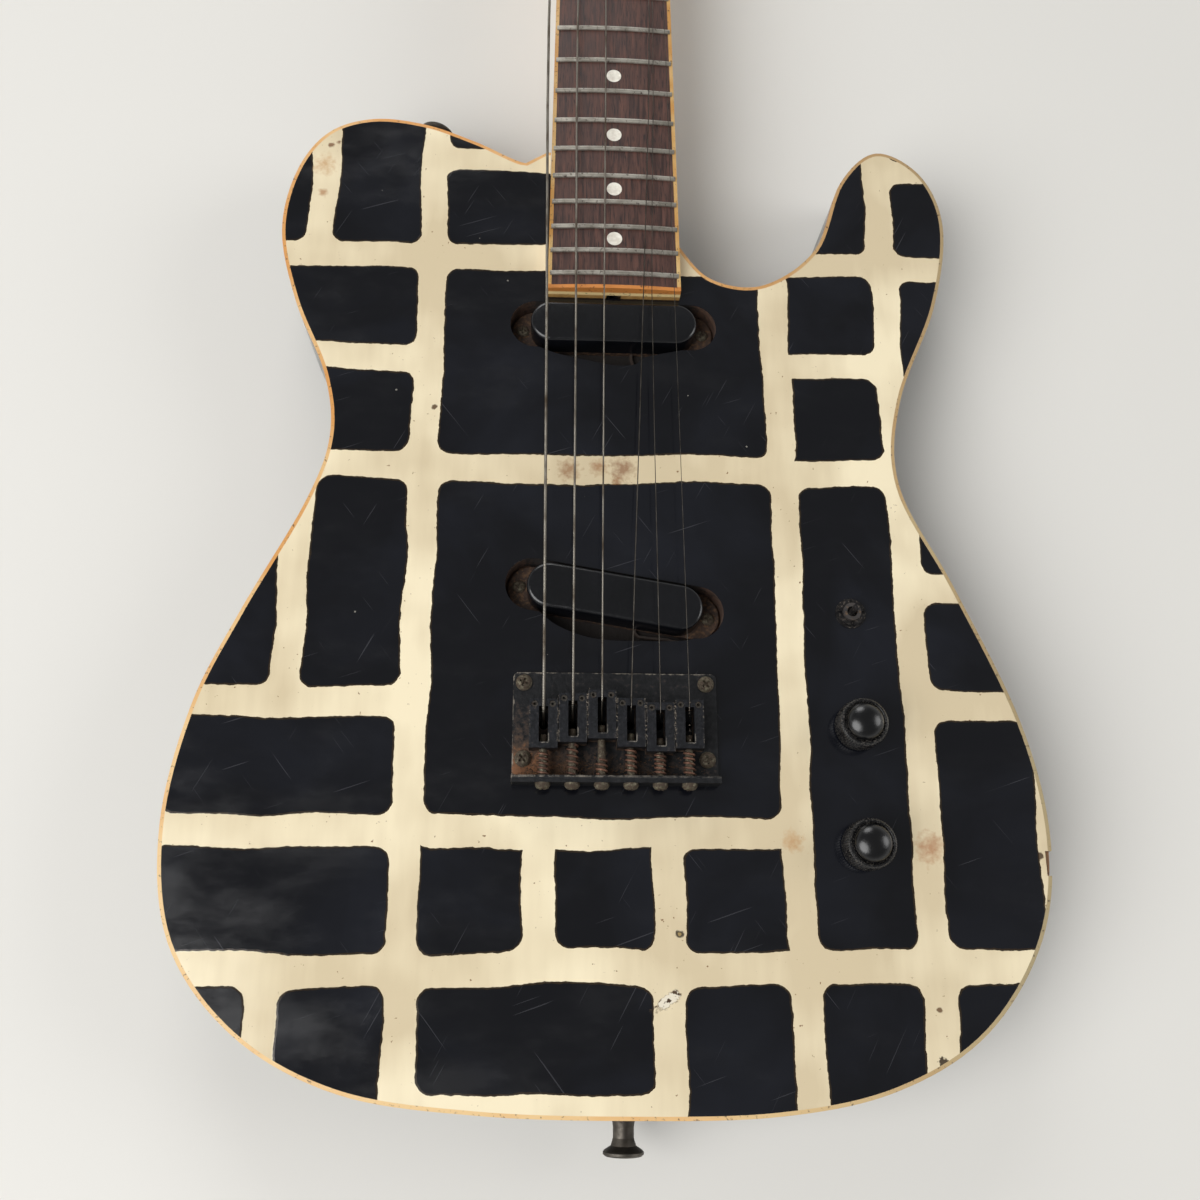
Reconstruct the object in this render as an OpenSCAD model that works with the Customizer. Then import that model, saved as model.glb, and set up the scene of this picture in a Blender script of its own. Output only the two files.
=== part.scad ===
// Solid-body electric guitar lying on its back: bolt-on neck, two pickups, six-saddle bridge.
// Frame: X across the body towards the treble side, Y along the neck towards the headstock,
// Z up from the back to the face. Origin: back face, centre line, under the saddle line.

/* [Body] */
// Widest part of the body, across the lower bout
body_w = 328; // [270:1:395]
// From the saddle line to the tail end
tail_l = 145; // [120:1:175]
// From the saddle line to the top of the bass shoulder
shoulder_l = 260; // [245:1:312]
// Thickness of the body
body_t = 44; // [36:0.5:54]
// Width of the binding strip seen from the front
binding_w = 1.4; // [1.2:0.1:3]
// Height of the binding strip on the side
binding_h = 5; // [3:0.5:8]
// Wood left in front of the control cavity
cavity_wall = 5; // [4:0.5:7]
// Width of the control cavity
cavity_w = 34; // [30:1:41]

/* [Neck] */
// Scale length, from the nut to the saddle line
scale_l = 648; // [600:1:700]
// Number of frets
fret_count = 22; // [21:1:22]
// Width at the nut
nut_w = 42; // [38:0.5:50]
// Width at the body end of the fretboard
board_end_w = 55.6; // [52:0.2:66]
// Thickness of the fretboard at its centre line
board_t = 6; // [5:0.5:7.2]
// Radius of the fretboard's playing surface
board_r = 305; // [184:1:400]
// Height of the fretboard above the body's face
board_rise = 8; // [7:0.5:9.6]
// Depth of the neck pocket
pocket_depth = 16; // [14:0.5:19]
// Thickness of the fretboard binding
board_binding_w = 1.6; // [1:0.1:2.2]
// Diameter of the position dots
dot_d = 6.4; // [4:0.1:7.6]

/* [Strings and bridge] */
// Spacing of the strings at the saddles
string_pitch = 10.8; // [9:0.1:12.8]
// Spacing of the strings at the nut
nut_pitch = 7; // [5.9:0.1:8]
// Diameters of the strings, lowest first
gauges = [1.17, 0.91, 0.66, 0.43, 0.33, 0.25]; // [0.2:0.01:1.4]
// Length of the bridge plate
plate_l = 42.5; // [40:0.5:51]
// Thickness of the bridge plate
plate_t = 1.8; // [1.2:0.1:2.5]
// Length of a saddle block
saddle_l = 18.2; // [17:0.1:19]
// Height of a saddle block
saddle_h = 8; // [7:0.5:9.6]

/* [Pickups and controls] */
// Length of a pickup cover
pickup_l = 69; // [58:1:76]
// Width of a pickup cover
pickup_w = 18; // [15:0.5:19]
// Height of a pickup cover above the body's face
pickup_rise = 4; // [2:0.5:5]
// Lean of the bridge pickup
bridge_pickup_turn = -9.4; // [-12:0.2:0]
// Diameter of a knob
knob_d = 18.6; // [16:0.2:22.4]
// Height of a knob
knob_h = 15; // [13:0.5:18]
// Diameter of a control shaft
shaft_d = 6; // [5:0.1:6.4]
// Bore of the output jack
jack_bore_d = 6.5; // [6.4:0.05:6.8]

/* [Headstock and tuners] */
// Thickness of the headstock
head_t = 14; // [12:0.5:16.8]
// Distance between neighbouring tuners
tuner_pitch = 25.5; // [23.5:0.5:30]
// Diameter of a string post
post_d = 6; // [5:0.1:7.2]
// Diameter of a tuner bushing's sleeve
bushing_d = 9.8; // [9:0.1:11.7]

/* [Hidden] */

$fn = 64;
eps = 0.01;          // overlap that keeps cuts clean
fit_gap = 0.3;       // clearance of a part that drops into a pocket
close_gap = 0.05;    // clearance of a screw in its hole and a shaft in its bearing
strings = len(gauges);

// Lengthwise stations
function fret_y(n) = scale_l * pow(2, -n / 12);
board_overhang = 7;                                  // fretboard beyond the last fret
board_end_y = fret_y(fret_count) - board_overhang;
heel_l = 71;                                         // length of the neck pocket
heel_y = board_end_y + heel_l;
nut_l = 4.5;
nut_y = scale_l;
shaft_end_y = nut_y + nut_l + 1;
head_root_y = shaft_end_y + 15;

// Heights
board_top_z = body_t + board_rise;
board_under_z = board_top_z - board_t;
pocket_z = body_t - pocket_depth;
head_face_z = board_top_z - 10;
head_back_z = head_face_z - head_t;
plate_top_z = body_t + plate_t;
saddle_top_z = plate_top_z + saddle_h + 1.7;
crown_h = 1.1;                                       // height of a fret's crown
nut_slot_z = board_top_z + crown_h + 0.5;

// Half width of the board, and the height of its rounded face, at a place on it
function board_w(y) = nut_w + (board_end_w - nut_w) * (scale_l - y) / (scale_l - board_end_y);
function board_face_z(x) = board_top_z - board_r + sqrt(board_r * board_r - x * x);

// Smooth open curve through points: it leaves out the first and last, which only steer its ends
function blend_point(a, b, c, d, t) =
    0.5 * (2 * b + (c - a) * t + (2 * a - 5 * b + 4 * c - d) * t * t + (3 * b - a - 3 * c + d) * t * t * t);
function curve(p, steps) = concat(
    [for (i = [1:len(p) - 3], k = [0:steps - 1])
        blend_point(p[i - 1], p[i], p[i + 1], p[i + 2], k / steps)],
    [p[len(p) - 2]]);
function unit(v) = v / norm(v);

// Points moved inwards from a clockwise-left outline by a distance
function inset(p, d) = [for (i = [0:len(p) - 1])
    let (a = p[(i + len(p) - 1) % len(p)], b = p[(i + 1) % len(p)], t = unit(b - a))
    p[i] + d * [-t[1], t[0]]];

// Body outline at the reference size, from the bass side of the heel round the tail to the cutaway
ref_w = 328;
ref_tail = 145;
ref_shoulder = 260;
KNOTS = [
    [-38, 240], [-60, 250], [-82, 258], [-105, 260], [-124, 252], [-136, 232], [-140, 203], [-132, 170],
    [-118, 137], [-114, 109], [-122, 80], [-143, 36], [-158, -1], [-165, -45], [-158, -86], [-133, -117],
    [-96, -136], [-49, -143], [4, -145], [57, -144], [99, -136], [133, -117], [156, -85], [163, -48],
    [156, -4], [135, 49], [116, 92], [119, 130], [137, 175], [144, 214], [136, 240], [117, 251],
    [100, 235], [87, 201], [64, 183], [42, 185]];
function sized(p) =
    [p[0] * body_w / ref_w, p[1] * (p[1] < 0 ? tail_l / ref_tail : shoulder_l / ref_shoulder)];
knots = [for (p = KNOTS) sized(p)];
heel_half = board_end_w / 2 + 0.9;
cutaway_y = sized([0, 200])[1];                      // where the cutaway meets the side of the neck
outline_steps = 9;
outline = concat(
    [[-heel_half, heel_y]],
    curve(concat([[-heel_half, heel_y]], knots, [[heel_half, cutaway_y], [heel_half - 6, cutaway_y + 14]]),
          outline_steps),
    [[heel_half, heel_y]]);
inner_outline = inset(outline, binding_w);

// A place on the outline at a knot, and the way out of the body there
function rim(k) = knots[k];
function rim_out(k) = let (t = unit(knots[k + 1] - knots[k - 1])) [t[1], -t[0]];
tail_knot = 18;
shoulder_knot = 2;

// Controls, in a row along the treble side
control_x = body_w / 2 - 71.5;
switch_y = 38;
volume_y = -7;
tone_y = -51.5;
cavity_r = cavity_w / 2;
cavity_y = [tone_y - 5, switch_y + 2];               // centres of the cavity's round ends
cavity_ledge = 7;
cover_t = 2;
control_hole_d = 7.4;

// Pickups
cover_wall = 1.5;
cover_h = 11;
base_t = 2.4;
base_l = pickup_l + 15;
rout_slack = 1.6;
rout_l = base_l + 2;
rout_w = pickup_w + 2 * rout_slack;
rout_depth = cover_h + base_t - pickup_rise;
neck_pickup_y = board_end_y - 2.4 - rout_w / 2;
bridge_pickup_y = 43;
ear_x = base_l / 2 - 4.2;

// Bridge
string_hole_y = -7.5;
plate_front_y = 12.5;
plate_rear_y = plate_front_y - plate_l;
plate_w = (strings - 1) * string_pitch + 23;
lip_t = 2.6;
lip_h = 9.5;
saddle_w = string_pitch - 0.3;
saddle_fronts = [0.4, 2.6, 4, 1, -0.6, 0.6];         // front face of each saddle
grub_d = 2.4;
grub_x = 3.3;
grub_back = 1.9;                                     // from a saddle's front to its height screws
slot_w = 3.4;
slot_front = 2.8;
slot_back = 2.2;
intonation_d = 2.9;
intonation_z = plate_top_z + 5.2;
mount_screw_x = plate_w / 2 - 4;
mount_screw_y = [plate_front_y - 4, plate_rear_y + 9.6];
function saddle_x(i) = (i - (strings - 1) / 2) * string_pitch;
function nut_x(i) = (i - (strings - 1) / 2) * nut_pitch;

// Slack strings: how far each leans from its straight line at these stations
lean_y = [172, 308, 480, nut_y + nut_l];
string_lean = [
    [-3.6, -6.4, -6, -5.1], [-1.4, -2.6, -1.2, 0], [0.4, 0.9, 0.4, 0],
    [6.8, 11.1, 9.4, 5.8], [0.5, 3.8, 2.2, 0], [0, 0, 0, 0]];
slipped = [true, false, false, true, false, false];  // strings that have left their nut slots
wire_gap = 0.15;
string_bite = 0.3;                                   // how deep a string lies in its saddle
function saddle_string_z(i) = saddle_top_z + gauges[i] / 2 - string_bite;
function nut_string_z(i) =
    i == 0 ? board_face_z(nut_w / 2) - 0.6 :
    slipped[i] ? nut_top_z(nut_x(i) + string_lean[i][3]) + gauges[i] / 2 + wire_gap :
    nut_slot_z + gauges[i] / 2;
nut_rise = 2.4;                                      // nut above the fretboard
function nut_top_z(x) = board_face_z(x) + nut_rise;

// Headstock: string posts stand in a line that carries each string straight on from the nut
first_post_l = 38;
post_step = [nut_pitch, sqrt(tuner_pitch * tuner_pitch - nut_pitch * nut_pitch)];
function post_xy(i) = [nut_x(i) - post_neck_d / 2 - gauges[i] / 2, nut_y + first_post_l + i * post_step[1]];
post_neck_d = post_d - 0.8;
row_turn = -atan2(post_step[0], post_step[1]);
along = [sin(-row_turn), cos(row_turn)];
outward = [-cos(row_turn), sin(-row_turn)];
function by_post(i, a, o) = post_xy(i) + a * along + o * outward;
edge_off = 13;
head_outline = concat(
    [[-nut_w / 2, head_root_y - 8]],
    curve([[-nut_w / 2, head_root_y - 30], [-nut_w / 2, head_root_y - 8], by_post(0, -14, edge_off - 1.5),
           by_post(0, 0, edge_off), by_post(1, 0, edge_off), by_post(2, 0, edge_off), by_post(3, 0, edge_off),
           by_post(4, 0, edge_off), by_post(5, 0, edge_off), by_post(5, 15, edge_off - 2.5),
           by_post(5, 23, edge_off - 10), by_post(5, 24, -4), by_post(5, 15, -14), by_post(4, 10, -19),
           by_post(3, 4, -25), by_post(2, -4, -31), by_post(1, -10, -37), [nut_w / 2 + 2.5, head_root_y + 14],
           [nut_w / 2, head_root_y - 8], [nut_w / 2, head_root_y - 30]], 8));

// ---------- shared shapes ----------

// Flat bar with round ends, centred
module capsule(l, w) {
    square([l - w, w], center = true);
    for (s = [-1, 1]) translate([s * (l - w) / 2, 0]) circle(d = w);
}

// Rectangle with round corners, centred
module round_rect(l, w, r) {
    square([l - 2 * r, w], center = true);
    square([l, w - 2 * r], center = true);
    for (sx = [-1, 1], sy = [-1, 1]) translate([sx * (l / 2 - r), sy * (w / 2 - r)]) circle(r);
}

// Cross recess cut into a screw head whose top is at z = 0
module cross_recess(size, depth) {
    for (a = [0, 90]) rotate([0, 0, a]) translate([-size / 2, -size / 8, -depth])
        cube([size, size / 4, depth + 1]);
}

// Screw pointing down: the underside of its head is at z = 0
module screw(head_d, head_h, shank_d, l, sunk = false) {
    difference() {
        union() {
            if (sunk) translate([0, 0, -head_h]) cylinder(d1 = shank_d, d2 = head_d, h = head_h);
            else rotate_extrude() polygon([[0, 0], [head_d / 2, 0], [head_d / 2, head_h * 0.35],
                [head_d * 0.36, head_h * 0.85], [head_d * 0.2, head_h], [0, head_h]]);
            translate([0, 0, shank_d - l])
                cylinder(d = shank_d, h = l - shank_d + (sunk ? -head_h / 2 : eps));
            translate([0, 0, -l]) cylinder(d1 = shank_d * 0.2, d2 = shank_d, h = shank_d + eps);
        }
        translate([0, 0, sunk ? 0 : head_h]) cross_recess(head_d * 0.55, head_h * 0.55);
    }
}

// Tube swept along points: its section keeps its turn from ring to ring
module sweep(path, r, sides) {
    n = len(path);
    way = [for (i = [0:n - 1]) unit(path[min(i + 1, n - 1)] - path[max(i - 1, 0)])];
    start = abs(way[0][0]) < 0.8 ? [1, 0, 0] : [0, 0, 1];
    across = [for (i = 0, v = unit(start - (start * way[0]) * way[0]); i < n;
                   i = i + 1, v = i < n ? unit(v - (v * way[i]) * way[i]) : v) v];
    rings = [for (i = [0:n - 1]) for (k = [0:sides - 1])
        path[i] + r * (cos(360 * k / sides) * across[i] + sin(360 * k / sides) * cross(way[i], across[i]))];
    walls = [for (i = [0:n - 2]) for (k = [0:sides - 1])
        let (k2 = (k + 1) % sides)
        [i * sides + k, (i + 1) * sides + k, (i + 1) * sides + k2, i * sides + k2]];
    polyhedron(rings, concat(walls, [[for (k = [0:sides - 1]) k]],
        [[for (k = [sides - 1:-1:0]) (n - 1) * sides + k]]), convexity = 6);
}

// ---------- body ----------

// Plan of the neck's heel, grown by a gap on its sides and end
module heel_plan(gap, y_end) {
    w0 = board_w(board_end_y) / 2 + gap;
    w1 = board_w(y_end) / 2 + gap;
    polygon([[-w0, board_end_y - gap], [w0, board_end_y - gap], [w1, y_end], [-w1, y_end]]);
}

// Room for the neck: its heel, and the open side at the cutaway
module neck_pocket() {
    translate([0, 0, pocket_z]) {
        linear_extrude(body_t) heel_plan(fit_gap, heel_y + 20);
        translate([0, cutaway_y, 0]) cube([heel_half + 20, heel_l, body_t]);
    }
}

// Room for one pickup, with a wider bay on the bridge side for its leads
module pickup_rout(y, turn, bay) {
    translate([0, y, body_t - rout_depth]) linear_extrude(body_t) {
        rotate(turn) capsule(rout_l, rout_w);
        polygon(concat([[-30, 0]], bay, [[30, 0]]));
    }
}

// Hole drilled from one point to another at the same height
module drilling(a, b, z, d) {
    translate([a[0], a[1], z]) rotate([0, 90, atan2(b[1] - a[1], b[0] - a[0])])
        cylinder(d = d, h = norm(b - a));
}

// Edges of the bays, from the bass end to the treble end, below the middle of each pickup
bay_edge = rout_w / 2;
neck_bay = curve([[-44, -4], [-33, -bay_edge + 1], [-23, -bay_edge - 3], [-8, -bay_edge - 6.2],
                  [1, -bay_edge - 7.8], [9, -bay_edge - 7], [14, -bay_edge - 3.4], [32, -bay_edge + 1],
                  [44, -4]], 8);
bridge_bay = curve([[-40, 4], [-29, -bay_edge + 4.5], [-22, -bay_edge - 0.8], [-12.7, -bay_edge - 4.6],
                    [-3, -bay_edge - 6.3], [10, -bay_edge - 6.6], [28, -bay_edge - 6], [35, -bay_edge - 2.4],
                    [38.5, -bay_edge + 2], [42, 2]], 8);

module cavity_plan(grow) {
    translate([control_x, (cavity_y[0] + cavity_y[1]) / 2]) rotate(90)
        capsule(cavity_y[1] - cavity_y[0] + cavity_w + 2 * grow, cavity_w + 2 * grow);
}

cover_screw_at = [for (sx = [-1, 1], y = [cavity_y[0] + 6, cavity_y[1] - 6])
    [control_x + sx * (cavity_r + cavity_ledge / 2), y]];

// Drillings for the leads
lead_hole_d = 5;
lead_z = body_t - rout_depth + 1.5;
neck_lead_from = [8, neck_pickup_y - rout_w / 2 - 5];
neck_lead_to = [control_x - 4, switch_y + 12];
bridge_lead_from = [26, bridge_pickup_y - rout_w / 2 - 5.1];
ground_hole_d = 3;
ground_from = [30, -3];
ground_z = body_t - cavity_wall - ground_hole_d / 2 - 0.5;

jack_y = -57;
jack_z = body_t / 2;
jack_plate_l = 36;
jack_plate_h = 26;
jack_plate_t = 2;
jack_floor_x = body_w / 2 - 5.5;                     // bottom of the flat that carries the jack plate
jack_screw_y = 13;
jack_sleeve_d = 9.4;

neck_plate_l = 64;
neck_plate_w = 50;
neck_plate_t = 2;
neck_plate_y = board_end_y + 36;
neck_screw_d = 4.2;
neck_screw_l = board_under_z - 6;
neck_screw_at = [for (sx = [-1, 1], sy = [-1, 1]) [sx * 19, neck_plate_y + sy * 25.5]];
ferrule_d = 8;
ferrule_l = 9;
ball_seat_d = 5;
ball_seat_h = 5;
small_screw_d = 2.8;
small_screw_l = 12;
screw_sink = 1.2;                                    // depth of the cover screws' heads
strap_screw_d = 3.4;
strap_screw_l = 34;
strap_button_l = 14;

// Turns a shape that points down so that it points into the body at a rim knot
module into_rim(k) {
    out = rim_out(k);
    translate([rim(k)[0], rim(k)[1], body_t / 2]) rotate([0, 0, atan2(out[1], out[0])]) rotate([0, 90, 0])
        children();
}

// Piece missing from the edge beside the jack
module edge_chip() {
    translate([body_w / 2 - 3.6, jack_y - 5, body_t - 2.6]) cube([12, 9, 12]);
}

module body() {
    color([0.05, 0.05, 0.06]) difference() {
        union() {
            linear_extrude(body_t - binding_h) polygon(outline);
            linear_extrude(body_t) polygon(inner_outline);
        }
        neck_pocket();
        pickup_rout(neck_pickup_y, 0, neck_bay);
        pickup_rout(bridge_pickup_y, bridge_pickup_turn, bridge_bay);
        // lead holes from the pickups and the bridge to the control cavity
        drilling(neck_lead_from, neck_lead_to, lead_z, lead_hole_d);
        drilling(bridge_lead_from, [control_x, bridge_lead_from[1]], lead_z, lead_hole_d);
        drilling(ground_from, [control_x, ground_from[1]], ground_z, ground_hole_d);
        translate([ground_from[0], ground_from[1], ground_z]) cylinder(d = ground_hole_d, h = body_t);
        // control cavity, its cover's ledge and the holes through the face
        translate([0, 0, -eps]) linear_extrude(body_t - cavity_wall + eps) cavity_plan(0);
        translate([0, 0, -eps]) linear_extrude(cover_t + fit_gap + eps) cavity_plan(cavity_ledge);
        for (y = [switch_y, volume_y, tone_y]) translate([control_x, y, body_t - cavity_wall - 1])
            cylinder(d = control_hole_d, h = cavity_wall + 2);
        for (p = cover_screw_at) translate([p[0], p[1], 0])
            cylinder(d = small_screw_d + 2 * close_gap, h = small_screw_l + 2);
        // flat, hole and screw holes for the output jack
        translate([jack_floor_x, jack_y - jack_plate_l / 2 - fit_gap, jack_z - jack_plate_h / 2 - fit_gap])
            cube([20, jack_plate_l + 2 * fit_gap, jack_plate_h + 2 * fit_gap]);
        translate([control_x, jack_y, jack_z]) rotate([0, 90, 0])
            cylinder(d = 20, h = jack_floor_x - control_x + 1);
        for (s = [-1, 1]) translate([jack_floor_x - small_screw_l, jack_y + s * jack_screw_y, jack_z])
            rotate([0, 90, 0]) cylinder(d = small_screw_d + 2 * close_gap, h = small_screw_l + 1);
        // neck plate recess and neck screws
        translate([0, neck_plate_y, -eps]) linear_extrude(neck_plate_t + fit_gap + eps)
            round_rect(neck_plate_w + 2 * fit_gap, neck_plate_l + 2 * fit_gap, 5);
        for (p = neck_screw_at) translate([p[0], p[1], 0]) cylinder(d = neck_screw_d + 0.8, h = body_t);
        // string holes with their ferrule seats
        for (i = [0:strings - 1]) translate([saddle_x(i), string_hole_y, -eps]) {
            cylinder(d = 3.4, h = body_t + 1);
            cylinder(d = ferrule_d, h = ferrule_l + eps);
        }
        // pilot holes of the pickups, the bridge and the strap buttons
        for (s = [-1, 1]) {
            translate([s * ear_x, neck_pickup_y, body_t - rout_depth - small_screw_l])
                cylinder(d = small_screw_d + 2 * close_gap, h = small_screw_l + 1);
            translate([0, bridge_pickup_y, body_t - rout_depth - small_screw_l])
                rotate(bridge_pickup_turn) translate([s * ear_x, 0, 0])
                    cylinder(d = small_screw_d + 2 * close_gap, h = small_screw_l + 1);
        }
        for (x = [-mount_screw_x, mount_screw_x], y = mount_screw_y) translate([x, y, body_t - 20])
            cylinder(d = small_screw_d + 2 * close_gap, h = 21);
        for (k = [tail_knot, shoulder_knot]) into_rim(k)
            translate([0, 0, -strap_screw_l])
                cylinder(d = strap_screw_d + 2 * close_gap, h = strap_screw_l + 5);
        edge_chip();
    }
}

module front_binding() {
    color([0.93, 0.85, 0.62]) difference() {
        translate([0, 0, body_t - binding_h]) linear_extrude(binding_h) difference() {
            polygon(outline);
            polygon(inner_outline);
        }
        neck_pocket();
        edge_chip();
    }
}

module neck_plate() {
    color([0.2, 0.2, 0.2]) difference() {
        translate([0, neck_plate_y, 0]) linear_extrude(neck_plate_t)
            round_rect(neck_plate_w, neck_plate_l, 5);
        for (p = neck_screw_at) translate([p[0], p[1], -eps]) {
            cylinder(d1 = 8.2, d2 = neck_screw_d + 0.2, h = neck_plate_t);
            cylinder(d = neck_screw_d + 0.2, h = neck_plate_t + 1);
        }
    }
}

module neck_screws() {
    color([0.45, 0.42, 0.38]) for (p = neck_screw_at) translate([p[0], p[1], 0]) rotate([180, 0, 0])
        screw(7.9, neck_plate_t, neck_screw_d, neck_screw_l, true);
}

module control_cover() {
    color([0.06, 0.06, 0.06]) difference() {
        linear_extrude(cover_t) cavity_plan(cavity_ledge - fit_gap);
        for (p = cover_screw_at) translate([p[0], p[1], -eps]) {
            cylinder(d = small_screw_d + 2 * close_gap, h = cover_t + 1);
            cylinder(d = 6, h = screw_sink + eps);
        }
    }
}

// Small pan-head screws of the control cover, the jack plate and the pickups
module small_screws() {
    color([0.4, 0.35, 0.3]) {
        for (p = cover_screw_at) translate([p[0], p[1], screw_sink]) rotate([180, 0, 0]) small_screw();
        for (s = [-1, 1]) translate([jack_floor_x + jack_plate_t, jack_y + s * jack_screw_y, jack_z])
            rotate([0, 90, 0]) small_screw();
        for (s = [-1, 1]) {
            translate([s * ear_x, neck_pickup_y, body_t - rout_depth + base_t]) small_screw();
            translate([0, bridge_pickup_y, body_t - rout_depth + base_t]) rotate(bridge_pickup_turn)
                translate([s * ear_x, 0, 0]) small_screw();
        }
    }
}

module small_screw() {
    screw(5, 1.1, small_screw_d, small_screw_l);
}

// ---------- output jack ----------

module jack_plate() {
    color([0.85, 0.8, 0.66]) translate([jack_floor_x, jack_y, jack_z]) rotate([0, 90, 0]) difference() {
        linear_extrude(jack_plate_t) round_rect(jack_plate_h, jack_plate_l, 4);
        translate([0, 0, -1]) cylinder(d = jack_sleeve_d + 0.2, h = jack_plate_t + 2);
        for (s = [-1, 1]) translate([0, s * jack_screw_y, -1])
            cylinder(d = small_screw_d + 2 * close_gap, h = jack_plate_t + 2);
    }
}

module output_jack() {
    color([0.75, 0.73, 0.68]) translate([jack_floor_x, jack_y, jack_z]) rotate([0, 90, 0]) difference() {
        union() {
            translate([0, 0, -5]) cylinder(d = jack_sleeve_d, h = 5 + jack_plate_t + 3.4);
            translate([0, 0, -5]) cylinder(d = 15, h = 5 - fit_gap);
            // contact springs behind the sleeve
            for (s = [-1, 1]) translate([s * 5.4 - 0.6, -2.4, -24]) cube([1.2, 4.8, 20]);
            translate([-6, -5, -8]) cube([2, 10, 4]);
            translate([4, -5, -8]) cube([2, 10, 4]);
        }
        translate([0, 0, -30]) cylinder(d = jack_bore_d, h = 60);
    }
}

// ---------- strap buttons ----------

button_flange_d = 14.8;
button_neck_d = 7.6;
strap_head_d = 6.8;
strap_head_h = 2.6;

module strap_buttons() {
    bore_d = strap_screw_d + 2 * close_gap;
    color([0.62, 0.6, 0.57]) for (k = [tail_knot, shoulder_knot]) into_rim(k)
        translate([0, 0, close_gap]) difference() {
            rotate_extrude() polygon([[0, 0], [5, 0], [4.2, 2], [button_neck_d / 2, 4.5],
                [button_neck_d / 2, 8], [4.6, 10.6], [button_flange_d / 2 - 0.6, 12],
                [button_flange_d / 2, 12.6], [button_flange_d / 2, 13.4],
                [button_flange_d / 2 - 0.7, strap_button_l], [0, strap_button_l]]);
            translate([0, 0, -1]) cylinder(d = bore_d, h = strap_button_l + 2);
            translate([0, 0, strap_button_l - strap_head_h])
                cylinder(d1 = bore_d, d2 = strap_head_d + 4 * close_gap, h = strap_head_h + eps);
        }
}

module strap_button_screws() {
    color([0.5, 0.48, 0.44]) for (k = [tail_knot, shoulder_knot]) into_rim(k)
        translate([0, 0, strap_button_l + close_gap])
            screw(strap_head_d, strap_head_h, strap_screw_d, strap_screw_l, true);
}

// ---------- neck ----------

// Thin cross-section of the neck's back, rounder where power is near 2
module neck_slice(y, w, depth, power, top_z) {
    translate([0, y, top_z]) rotate([90, 0, 0]) linear_extrude(0.1) polygon([for (a = [0:9:180])
        [w / 2 * sign(cos(a)) * pow(abs(cos(a)), 2 / power), -depth * pow(abs(sin(a)), 2 / power)]]);
}

rod_d = 5;
rod_channel_w = 6.2;
rod_nut_d = 8;
rod_start_y = board_end_y + 2;
rod_end_y = nut_y - 20;
nut_depth = 15;                                      // neck wood behind the nut
shaft_depth = 17;                                    // neck wood behind the board near the heel

module neck() {
    color([0.34, 0.2, 0.12]) difference() {
        union() {
            translate([0, 0, pocket_z]) linear_extrude(board_under_z - pocket_z) heel_plan(0, heel_y + 2);
            hull() {
                neck_slice(heel_y + 2, board_w(heel_y), board_under_z - pocket_z, 9, board_under_z);
                neck_slice(heel_y + 34, board_w(heel_y + 34), shaft_depth, 2.3, board_under_z);
            }
            hull() {
                neck_slice(heel_y + 34, board_w(heel_y + 34), shaft_depth, 2.3, board_under_z);
                neck_slice(shaft_end_y, nut_w, nut_depth, 2.3, board_under_z);
            }
            hull() {
                neck_slice(shaft_end_y, nut_w, nut_depth, 2.3, board_under_z);
                neck_slice(head_root_y, nut_w + 3, head_t, 9, head_face_z);
            }
            translate([0, 0, head_back_z]) linear_extrude(head_t) polygon(head_outline);
        }
        // truss rod channel, wider at the adjusting nut
        translate([-rod_channel_w / 2, rod_start_y - 3, board_under_z - 9])
            cube([rod_channel_w, rod_end_y - rod_start_y + 6, 10]);
        translate([0, rod_start_y - 4, board_under_z - 5]) rotate([-90, 0, 0])
            cylinder(d = rod_nut_d + 0.6, h = 18);
        for (p = neck_screw_at) translate([p[0], p[1], 0])
            cylinder(d = neck_screw_d + 2 * close_gap, h = board_under_z - 3);
        for (i = [0:strings - 1]) translate([post_xy(i)[0], post_xy(i)[1], head_back_z - 1])
            cylinder(d = bushing_d + 2 * close_gap, h = head_t + 2);
        translate([tree_x, tree_y, head_face_z - 9]) cylinder(d = 2.5, h = 10);
    }
}

module truss_rod() {
    color([0.6, 0.6, 0.6]) translate([0, rod_start_y, board_under_z - 5]) rotate([-90, 0, 0]) difference() {
        union() {
            cylinder(d = rod_d, h = rod_end_y - rod_start_y);
            cylinder(d = rod_nut_d, h = 12);
        }
        translate([0, 0, -1]) cylinder(d = 4.6, h = 7, $fn = 6);
    }
}

// Space under the rounded face of the fretboard
module board_round(lift) {
    translate([0, board_end_y - 10, board_top_z - board_r]) rotate([-90, 0, 0])
        cylinder(r = board_r + lift, h = scale_l, $fn = 256);
}

// Plan of the fretboard up to a place, narrowed on its sides and body end
module board_plan(narrow, y_end) {
    w0 = board_w(board_end_y) / 2 - narrow;
    w1 = board_w(y_end) / 2 - narrow;
    polygon([[-w0, board_end_y + narrow], [w0, board_end_y + narrow], [w1, y_end], [-w1, y_end]]);
}

slot_depth = 2.6;
tang_w = 0.5;
dot_frets = [3, 5, 7, 9, 15, 17, 19, 21];
function dot_y(n) = (fret_y(n) + fret_y(n - 1)) / 2;
dot_at = concat([for (n = dot_frets) if (n <= fret_count) [0, dot_y(n)]],
    [for (s = [-1, 1]) [s * 9.5, dot_y(12)]]);
side_dot_at = concat([for (n = dot_frets) if (n <= fret_count) dot_y(n)],
    [for (s = [-1, 1]) dot_y(12) + s * 3.5]);
dot_depth = 1.6;
side_dot_z = board_top_z - 3.6;
side_dot_d = 2;

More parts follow.
